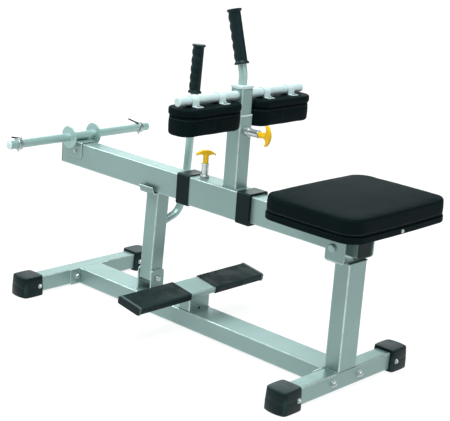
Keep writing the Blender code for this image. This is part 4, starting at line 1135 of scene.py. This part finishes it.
class CALFRAISE_OT_seat(bpy.types.Operator):
    """Cut, stuff and sew the seat cushion"""

    bl_idname = "calf_raise.seat"
    bl_label = "Seat"

    def execute(self, context):
        look = context.scene.calf_raise_look
        low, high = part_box("seat_cushion")
        middle = (low + high) / 2
        size = high - low
        bow, corner, least_corner, spare = 0.005, 0.052, 0.008, 0.0010
        edge, crown, shoulder, crown_inset = 0.0075, 0.0035, 0.0014, 0.145
        piping_height, stitch_height, stitch_radius = 0.0012, 0.0080, 0.00045
        welt_inset, welt_drop, welt_radius = 0.0036, 0.0054, 0.0009
        length, width = size.x + spare, size.y + spare
        side = size.z - edge - crown

        def outline(inset, steps, splits):
            radius = max(corner - inset, least_corner)
            return drawn_in((length, width), inset, radius, bow, steps, splits)

        # Each level's height and inset: up the side, round the edge and over the crown.
        levels = [(0.0, 0.0024), (0.003, 0.0010), (side * 0.3, 0.0), (side * 0.75, 0.0006)]
        levels.append((side, shoulder))
        for turn in map(math.radians, range(18, 91, 18)):
            levels.append((side + edge * math.sin(turn), shoulder + edge * (1 - math.cos(turn))))
        for share in (0.1, 0.25, 0.45, 0.7, 0.9):
            height = size.z - crown + crown * math.sin(math.pi / 2 * share)
            levels.append((height, shoulder + edge + crown_inset * share))
        rings = []
        for height, inset in levels:
            rings.append(level_ring(outline(inset, 10, 20), middle, low.z + height))
        cover = stuff(skin("seat_cushion_cut", rings), voxel=0.0055, reach=look.cushion_swell)
        reach = Vector((length / 2, width / 2, 0))
        floor, ceiling = (Vector((middle.x, middle.y, z)) for z in (low.z, high.z))
        fit(cover.data, floor - reach, ceiling + reach)
        gather(cover, low.z, towards=1, depth=size.z * 0.9, seed=1.0, amount=0.8)
        lie_on(cover.data, low.z, above=True)
        cushion = refined(cover, "seat_cushion_cover")
        settle(cushion, "frame", FINISHES["vinyl"], ["seat_cushion"])

        seam = outline(0.0, 12, 30)
        foot = level_ring(seam, middle, low.z + piping_height)
        piped("seat_piping", cushion, foot, 0.0, look.piping_radius, "frame")
        brow = level_ring(outline(welt_inset, 12, 30), middle, high.z - welt_drop)
        piped("seat_top_welt", cushion, brow, 0.0, welt_radius, "frame")
        guide = level_ring(seam, middle, low.z + stitch_height)
        sewn("seat_stitches", cushion, guide, stitch_radius, "frame", stitches_tree())
        return {"FINISHED"}


class CALFRAISE_OT_thigh_pads(bpy.types.Operator):
    """Cut, stuff and sew both thigh pads, each hanging under its wrapped board"""

    bl_idname = "calf_raise.thigh_pads"
    bl_label = "Thigh pads"

    def execute(self, context):
        look = context.scene.calf_raise_look
        tree = stitches_tree()
        bow, radius, least_corner = 0.0015, 0.046, 0.006
        # The height of the board's rim, how far it reaches over the foam, and the rounding of the
        # foam's lower edge.
        rim, overlap, edge = 0.0245, 0.0006, 0.010
        seam_inset, seam_corner, seam_drop, seam_lift = 0.00225, 0.002, 0.0014, 0.0002
        stitch_drop, stitch_radius, cord_share = 0.0065, 0.00042, 0.8
        # How much the board stands proud of the pad's box, how far the foam lies within it, and
        # how far it lies below the board when it is cut and when it is pressed flat.
        proud, within = Vector((0.0012, 0.0002, 0)), Vector((0.0010, 0.0008, 0))
        gap, flat_gap = 0.0002, 0.0003
        # Each level of the board's rim: its depth below the top, and its inset.
        band = (
            (0.0, 0.0080),
            (0.0003, 0.0050),
            (0.0013, 0.0026),
            (0.0034, 0.0013),
            (0.010, 0.0006),
            (0.017, 0.0006),
            (0.0212, 0.0016),
            (rim - 0.0012, 0.0035),
            (rim + overlap, 0.007),
        )
        for number, (side, _) in enumerate(SIDES):
            node = f"thigh_pad_{side}"
            low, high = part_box(node)
            middle = (low + high) / 2
            size = high - low
            foam = size.z - rim

            def cut(name, levels):
                rings = []
                for depth, inset in levels:
                    corner = max(radius - inset, least_corner)
                    outline = drawn_in(size.xy, inset, corner, bow, 10, 18)
                    rings.append(level_ring(outline, middle, high.z - depth))
                return skin(f"{node}_{name}", rings)

            wrapped = stuff(cut("board_cut", band), voxel=0.004, reach=0)
            foot = Vector((0, 0, size.z - rim - overlap))
            fit(wrapped.data, low - proud + foot, high + proud)
            gather(wrapped, high.z - rim, towards=1, depth=rim, seed=11.0 + number, amount=0.4)
            lie_on(wrapped.data, high.z, above=False)
            board = refined(wrapped, f"{node}_board")
            settle(board, "knee_post", FINISHES["vinyl"], [node])

            levels = [(rim + gap, 0.010), (rim + 0.0008, 0.0055), (rim + 0.006, 0.0034)]
            levels += [(rim + foam * 0.35, 0.0024), (rim + foam * 0.62, 0.0028)]
            for turn in map(math.radians, range(0, 90, 15)):
                depth = size.z - edge - 0.001 + edge * math.sin(turn)
                levels.append((depth, 0.0032 + edge * (1 - math.cos(turn))))
            levels += [(size.z - 0.0004, 0.024), (size.z, 0.036)]
            cover = stuff(cut("foam_cut", levels), voxel=0.0042, reach=look.pad_swell)
            fit(cover.data, low + within, high - within - Vector((0, 0, rim + gap)))
            gather(cover, high.z - rim, towards=-1, depth=foam, seed=4.0 + number, amount=0.5)
            lie_on(cover.data, high.z - rim - flat_gap, above=False)
            cushion = refined(cover, f"{node}_cushion")
            settle(cushion, "knee_post", FINISHES["vinyl"], [node])

            outline = drawn_in(size.xy, seam_inset, radius - seam_corner, bow, 12, 24)
            seam = level_ring(outline, middle, high.z - rim - seam_drop)
            cord = look.piping_radius * cord_share
            piped(f"{node}_piping", cushion, seam, seam_lift, cord, "knee_post")
            guide = [(x, y, z - stitch_drop) for x, y, z in seam]
            sewn(f"{node}_stitches", cushion, guide, stitch_radius, "knee_post", tree)
        return {"FINISHED"}


class CALFRAISE_OT_grips(bpy.types.Operator):
    """Mould both hand grips with their finger grooves and flared ends"""

    bl_idname = "calf_raise.grips"
    bl_label = "Hand grips"

    def execute(self, context):
        grooves = context.scene.calf_raise_look.grip_grooves
        flange, radius, rim, smooth_end = 0.0240, 0.0188, 0.011, 0.012
        swell, dip, ridge_height, ridges, facets = 0.0042, 0.0036, 0.00022, 28, 56
        # Each level of the flared end: its height, its radius and its swell towards the fingers.
        flare = (
            (0.0, flange - 0.0016, 0),
            (0.0006, flange - 0.0004, 0),
            (0.0020, flange, 0),
            (0.0055, flange - 0.0006, 0),
            (0.0085, radius + 0.0012, 0.001),
        )
        count = 14 * grooves
        for node, facing in GRIPS.items():
            foot, up, length = self.line_of(node)
            facing = Vector(facing)
            side = (facing - up * facing.dot(up)).normalized()
            across = up.cross(side)
            levels = list(flare)
            for share in (i / count for i in range(count + 1)):
                groove = dip * abs(math.cos(math.pi * grooves * share)) ** 4
                levels.append((rim + (length - 2 * rim) * share, radius, swell - groove))
            levels += [(length - height, reach, out) for height, reach, out in reversed(flare)]
            rings = []
            for height, reach, level_swell in levels:
                ribbed = smooth_end < height < length - smooth_end
                ring = []
                for angle in turns(facets):
                    ridge = ridge_height * math.cos(angle * ridges) if ribbed else 0.0
                    out = reach + level_swell * max(0.0, math.cos(angle)) ** 1.5 + ridge
                    place = foot + up * height + side * (out * math.cos(angle))
                    ring.append(place + across * (out * math.sin(angle)))
                rings.append(ring)
            grip = skin(f"{node}_moulded", rings)
            smooth(grip.data, 55)
            mark_edges(grip.data)
            settle(grip, BODIES[node], FINISHES["black_plastic"], [node])
        return {"FINISHED"}

    @staticmethod
    def line_of(node):
        """A grip's foot, direction and length, from the middles of its two end rings."""
        ring_depth = 0.0012
        points = coordinates(NODES[node].data)
        centre = points.mean(axis=0)
        _, _, ways = np.linalg.svd(points - centre, full_matrices=False)
        up = Vector(ways[0]) if ways[0][2] > 0 else -Vector(ways[0])
        heights = (points - centre) @ np.array(up)
        middles = []
        for level in (heights.min(), heights.max()):
            ring = points[np.abs(heights - level) < ring_depth]
            middles.append(Vector((ring.min(axis=0) + ring.max(axis=0)) / 2))
        foot, head = middles
        return foot, (head - foot).normalized(), (head - foot).length


class CALFRAISE_OT_fasteners(bpy.types.Operator):
    """Set the bolts, washers and screws on each moving body"""

    bl_idname = "calf_raise.fasteners"
    bl_label = "Bolts and screws"

    def execute(self, context):
        tree = bolt_heads_tree()
        width = context.scene.calf_raise_look.bolt_width
        flange, bolt_y, bolt_z = 0.005, 0.0645, 0.0375
        cap_recess, cap_screw_y, cap_screw_z = 0.0020, 0.240, 0.0365
        bracket_in_x, bracket_in_y, bracket_thickness = 0.018, 0.013, 0.0053
        board_recess, board_screw_y, board_screw_z = 0.0004, -0.013, 0.5475
        saddle_x, saddle_z = -0.6653, 0.4875
        clamp_in_x, clamp_plate = 0.009, 0.003
        washer_share, washer_height, flush = 1.35, 0.0014, 0.0004

        base_low, base_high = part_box("base_tube")
        flange_faces = (
            (base_low.x + flange, 1),
            (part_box("weight_stabiliser")[0].x, -1),
            (base_high.x - flange, -1),
            (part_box("seat_stabiliser")[1].x, 1),
        )
        base = []
        for y in (-bolt_y, bolt_y):
            base += [((x, y, bolt_z), (way, 0, 0)) for x, way in flange_faces]
        screws = []
        for node, sign in FOOT_CAPS.items():
            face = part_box(node)[1].x - cap_recess
            screws.append(((face, sign * cap_screw_y, cap_screw_z), (1, 0, 0)))
        bracket_low, bracket_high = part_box("seat_bracket")
        board_low, board_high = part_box("seat_board")
        for x in (bracket_low.x + bracket_in_x, bracket_high.x - bracket_in_x):
            for y in (bracket_low.y + bracket_in_y, bracket_high.y - bracket_in_y):
                screws.append(((x, y, board_low.z - bracket_thickness), (0, 0, -1)))
        board = [((board_high.x - board_recess, board_screw_y, board_screw_z), (1, 0, 0))]
        saddle_low, saddle_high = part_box("bar_saddle")
        saddle = [
            ((saddle_x, saddle_low.y, saddle_z), (0, -1, 0)),
            ((saddle_x, saddle_high.y, saddle_z), (0, 1, 0)),
        ]
        clamps = []
        for node in ("near_inner", "near_outer", "far_inner", "far_outer"):
            low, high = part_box(f"clamp_{node}")
            place = (high.x - clamp_in_x, (low.y + high.y) / 2, low.z + clamp_plate)
            clamps.append((place, (0, 0, 1)))
        # Name, places, body, head width, head height, stud height.
        sets = (
            ("base_bolts", base, "frame", width, 0.0082, 0.0030),
            ("foot_cap_screws", screws, "frame", width * 0.66, 0.0048, flush),
            ("seat_board_screw", board, "frame", width * 0.50, 0.0032, flush),
            ("saddle_bolts", saddle, "arm", width * 0.66, 0.0048, flush),
            ("pad_clamp_screws", clamps, "knee_post", width * 0.50, 0.0036, flush),
        )
        for name, spots, body, head, height, stud in sets:
            piece = grown(
                name,
                spots_mesh(name, spots),
                tree,
                Head_width=head,
                Head_height=height,
                Washer_width=head * washer_share,
                Washer_height=washer_height,
                Stud_height=stud,
                Material=FINISHES["zinc"],
            )
            mark_edges(piece.data)
            settle(piece, body)
        return {"FINISHED"}


class CALFRAISE_OT_welds(bpy.types.Operator):
    """Run a weld bead round each joint between tubes and plates"""

    bl_idname = "calf_raise.welds"
    bl_label = "Weld beads"

    def execute(self, context):
        radius = context.scene.calf_raise_look.weld_radius
        tree = beads_tree()

        outward = 0.0004

        def foot_loop(node, level, corner=0.005):
            low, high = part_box(node)
            size = high.x - low.x, high.y - low.y
            outline = drawn_in(size, -outward, corner, 0.0, 4, 2)
            x, y = (low.x + high.x) / 2, (low.y + high.y) / 2
            return [(u + x, v + y, level) for u, v in outline]

        base_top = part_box("base_tube")[1].z
        ears = [foot_loop(f"catch_ear_{end}", base_top, corner=0.0015) for end in ENDS]
        runs = (
            ("pedestal_weld", "frame", [foot_loop("footrest_pedestal", base_top)]),
            ("seat_post_weld", "frame", [foot_loop("seat_post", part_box("seat_stabiliser")[1].z)]),
            ("bracket_weld", "frame", [foot_loop("seat_post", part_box("seat_bracket")[0].z)]),
            ("catch_ear_weld", "frame", ears),
            ("mast_weld", "carriage", [foot_loop("mast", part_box("carriage_sleeve")[1].z)]),
        )
        for name, body, loops in runs:
            piece = grown(
                name,
                lines_mesh(name, loops),
                tree,
                Spacing=radius * 0.85,
                Radius=radius,
                Material=FINISHES["frame_paint"],
            )
            piece.data.shade_smooth()
            settle(piece, body)
        return {"FINISHED"}


class CALFRAISE_OT_plugs(bpy.types.Operator):
    """Plug both ends of the cross tube, and put the lid in the seat post"""

    bl_idname = "calf_raise.plugs"
    bl_label = "Tube plugs and lid"

    def execute(self, context):
        self.cross_tube_plugs()
        self.seat_post_lid()
        return {"FINISHED"}

    @staticmethod
    def cross_tube_plugs():
        low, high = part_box("cross_tube")
        middle = (low + high) / 2
        radius = (high.z - low.z) / 2
        for (side, sign), end in zip(SIDES, (low.y, high.y)):
            rings = []
            for out, share in PLUG_PROFILE:
                ring = []
                for angle in turns(40):
                    x = middle.x + radius * share * math.cos(angle)
                    z = middle.z + radius * share * math.sin(angle)
                    ring.append((x, end + sign * out, z))
                rings.append(ring)
            plug = skin(f"cross_tube_plug_{side}", rings)
            smooth(plug.data, 40)
            mark_edges(plug.data)
            settle(plug, "knee_post", FINISHES["pale_paint"])

    @staticmethod
    def seat_post_lid():
        low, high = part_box("seat_post")
        middle = (low + high) / 2
        corner = 0.003
        rings = []
        # Each level's height over the post's top, and its inset.
        for rise, inset in ((-0.0040, 0.0030), (-0.0004, 0.0030), (-0.0001, 0.0034)):
            size = high.x - low.x, high.y - low.y
            outline = drawn_in(size, inset, corner, 0.0, 4, 6)
            rings.append(level_ring(outline, middle, high.z + rise))
        lid = skin("seat_post_lid", rings)
        smooth(lid.data, 40)
        settle(lid, "frame", FINISHES["frame_paint"])


class CALFRAISE_OT_footrest(bpy.types.Operator):
    """Set two ribs round each footrest boot, pale as a painted highlight, and plug the pedestal's
    foot
    """

    bl_idname = "calf_raise.footrest"
    bl_label = "Footrest ribs and plug"

    def execute(self, context):
        for side, sign in SIDES:
            self.boot_ribs(f"footrest_boot_{side}", sign)
        self.pedestal_plug()
        return {"FINISHED"}

    @staticmethod
    def boot_ribs(node, sign):
        corner, radius, places = 0.003, 0.0009, (0.0042, 0.0088)
        across, up = np.array(FOOTREST_ACROSS), np.array(FOOTREST_UP)
        points = coordinates(NODES[node].data)
        spans = [(along.min(), along.max()) for along in (points @ across, points @ up)]
        (left, right), (bottom, top) = spans
        outline = bowed(right - left, top - bottom, corner, 0.0, 4, 12)
        outer_end = points[:, 1][np.argmax(sign * points[:, 1])]
        for number, inward in enumerate(places, start=1):
            y = outer_end - sign * inward
            loop = []
            for u, v in outline:
                place = across * (u + (left + right) / 2) + up * (v + (bottom + top) / 2)
                loop.append((place[0], y, place[2]))
            rib = swept(f"{node}_rib_{number}", loop, radius)
            # The ribs' pale colour paints the highlight on the boot's end.
            settle(rib, "frame", FINISHES["scuffed_rubber"])

    @staticmethod
    def pedestal_plug():
        low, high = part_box("footrest_pedestal")
        height = 0.0056
        ways = [Vector((0, math.cos(turn), math.sin(turn))) for turn in turns(24)]
        rings = []
        # How far each ring stands out of the pedestal, and its radius.
        for out, radius in ((-0.0010, 0.0042), (0.0004, 0.0042), (0.0007, 0.0036)):
            centre = Vector((high.x + out, (low.y + high.y) / 2, low.z + height))
            rings.append([centre + way * radius for way in ways])
        plug = skin("pedestal_plug", rings)
        smooth(plug.data, 40)
        settle(plug, "frame", FINISHES["black_plastic"])


class CALFRAISE_OT_stage(bpy.types.Operator):
    """Lay the pale floor and set the lights and the camera"""

    bl_idname = "calf_raise.stage"
    bl_label = "Floor, lights and camera"

    def execute(self, context):
        scene = context.scene
        self.floor()
        self.world(scene)
        self.lights()
        self.camera(scene)
        scene.view_settings.view_transform = "Standard"
        scene.view_settings.look = "None"
        return {"FINISHED"}

    @staticmethod
    def floor():
        work = bmesh.new()
        bmesh.ops.create_grid(work, x_segments=8, y_segments=8, size=40)
        mesh = bpy.data.meshes.new("floor")
        work.to_mesh(mesh)
        work.free()
        material, tree, shader = material_tree("pale studio floor")
        mottle = noise_node(tree, object_vector(tree), scale=3.0, detail=4.0, roughness=0.6)
        colour = mixed(tree, mottle, (0.14, 0.14, 0.14), (0.16, 0.16, 0.16))
        tree.links.new(colour, shader.inputs["Base Color"])
        shader.inputs["Roughness"].default_value = 0.9
        shader.inputs["Emission Color"].default_value = (1, 1, 1, 1)
        shader.inputs["Emission Strength"].default_value = 0.87
        mesh.materials.append(material)
        floor = new_piece("studio_floor", mesh)

    @staticmethod
    def world(scene):
        """A backdrop that looks white, and gives the machine only a little light."""
        world = bpy.data.worlds.new("studio")
        world.use_nodes = True
        tree = world.node_tree
        rays = tree.nodes.new("ShaderNodeLightPath").outputs["Is Camera Ray"]
        strength = spread(tree, rays, low=0, high=1, to_low=0.16, to_high=1.05)
        background = tree.nodes["Background"]
        feed_all(tree, background, (("Color", SKY_COLOUR), ("Strength", strength)))
        scene.world = world

    @staticmethod
    def lights():
        sky = bpy.data.lights.new("ceiling_light", "SUN")
        sky.energy = 3.2
        sky.angle = math.radians(60)
        ceiling = new_object("ceiling_light", sky)
        ceiling.rotation_euler = Vector(CEILING_WAY).to_track_quat("-Z", "Y").to_euler()
        for name, (place, target, size, power) in SOFTBOXES.items():
            light = bpy.data.lights.new(name, "AREA")
            light.shape = "SQUARE"
            light.size = size
            light.energy = power
            light.color = LIGHT_COLOUR
            lamp = new_object(name, light)
            lamp.location = place
            way = Vector(target) - Vector(place)
            lamp.rotation_euler = way.to_track_quat("-Z", "Y").to_euler()

    @staticmethod
    def camera(scene):
        camera = new_object("photo_camera", bpy.data.cameras.new("photo_camera"))
        camera.data.sensor_fit = "HORIZONTAL"
        camera.data.sensor_width = 36
        camera.data.lens = CAMERA_LENS
        camera.data.clip_end = 100
        turn = Matrix(CAMERA_AXES).transposed().to_4x4()
        camera.matrix_world = Matrix.Translation(CAMERA_PLACE) @ turn
        scene.camera = camera


class CALFRAISE_PT_panel(bpy.types.Panel):
    """The look's sizes and colours, and a button for each piece"""

    bl_idname = "CALFRAISE_PT_panel"
    bl_label = "Calf raise machine"
    bl_space_type = "VIEW_3D"
    bl_region_type = "UI"
    bl_category = "Calf raise"

    def draw(self, context):
        layout = self.layout
        look = context.scene.calf_raise_look
        for name in CalfRaiseLook.__annotations__:
            layout.prop(look, name)
        for operator in OPERATORS:
            layout.operator(operator.bl_idname)


OPERATORS = (
    CALFRAISE_OT_finishes,
    CALFRAISE_OT_steelwork,
    CALFRAISE_OT_foot_caps,
    CALFRAISE_OT_seat,
    CALFRAISE_OT_thigh_pads,
    CALFRAISE_OT_grips,
    CALFRAISE_OT_fasteners,
    CALFRAISE_OT_welds,
    CALFRAISE_OT_plugs,
    CALFRAISE_OT_footrest,
    CALFRAISE_OT_stage,
)
CLASSES = (CalfRaiseLook, *OPERATORS, CALFRAISE_PT_panel)


def register():
    for item in CLASSES:
        bpy.utils.register_class(item)
    bpy.types.Scene.calf_raise_look = PointerProperty(type=CalfRaiseLook)


def unregister():
    del bpy.types.Scene.calf_raise_look
    for item in reversed(CLASSES):
        bpy.utils.unregister_class(item)


def main():
    register()
    bpy.ops.calf_raise.finishes()
    bpy.ops.calf_raise.steelwork()
    bpy.ops.calf_raise.foot_caps()
    bpy.ops.calf_raise.seat()
    bpy.ops.calf_raise.thigh_pads()
    bpy.ops.calf_raise.grips()
    bpy.ops.calf_raise.fasteners()
    bpy.ops.calf_raise.welds()
    bpy.ops.calf_raise.plugs()
    bpy.ops.calf_raise.footrest()
    bpy.ops.calf_raise.stage()


if __name__ == "__main__":
    main()
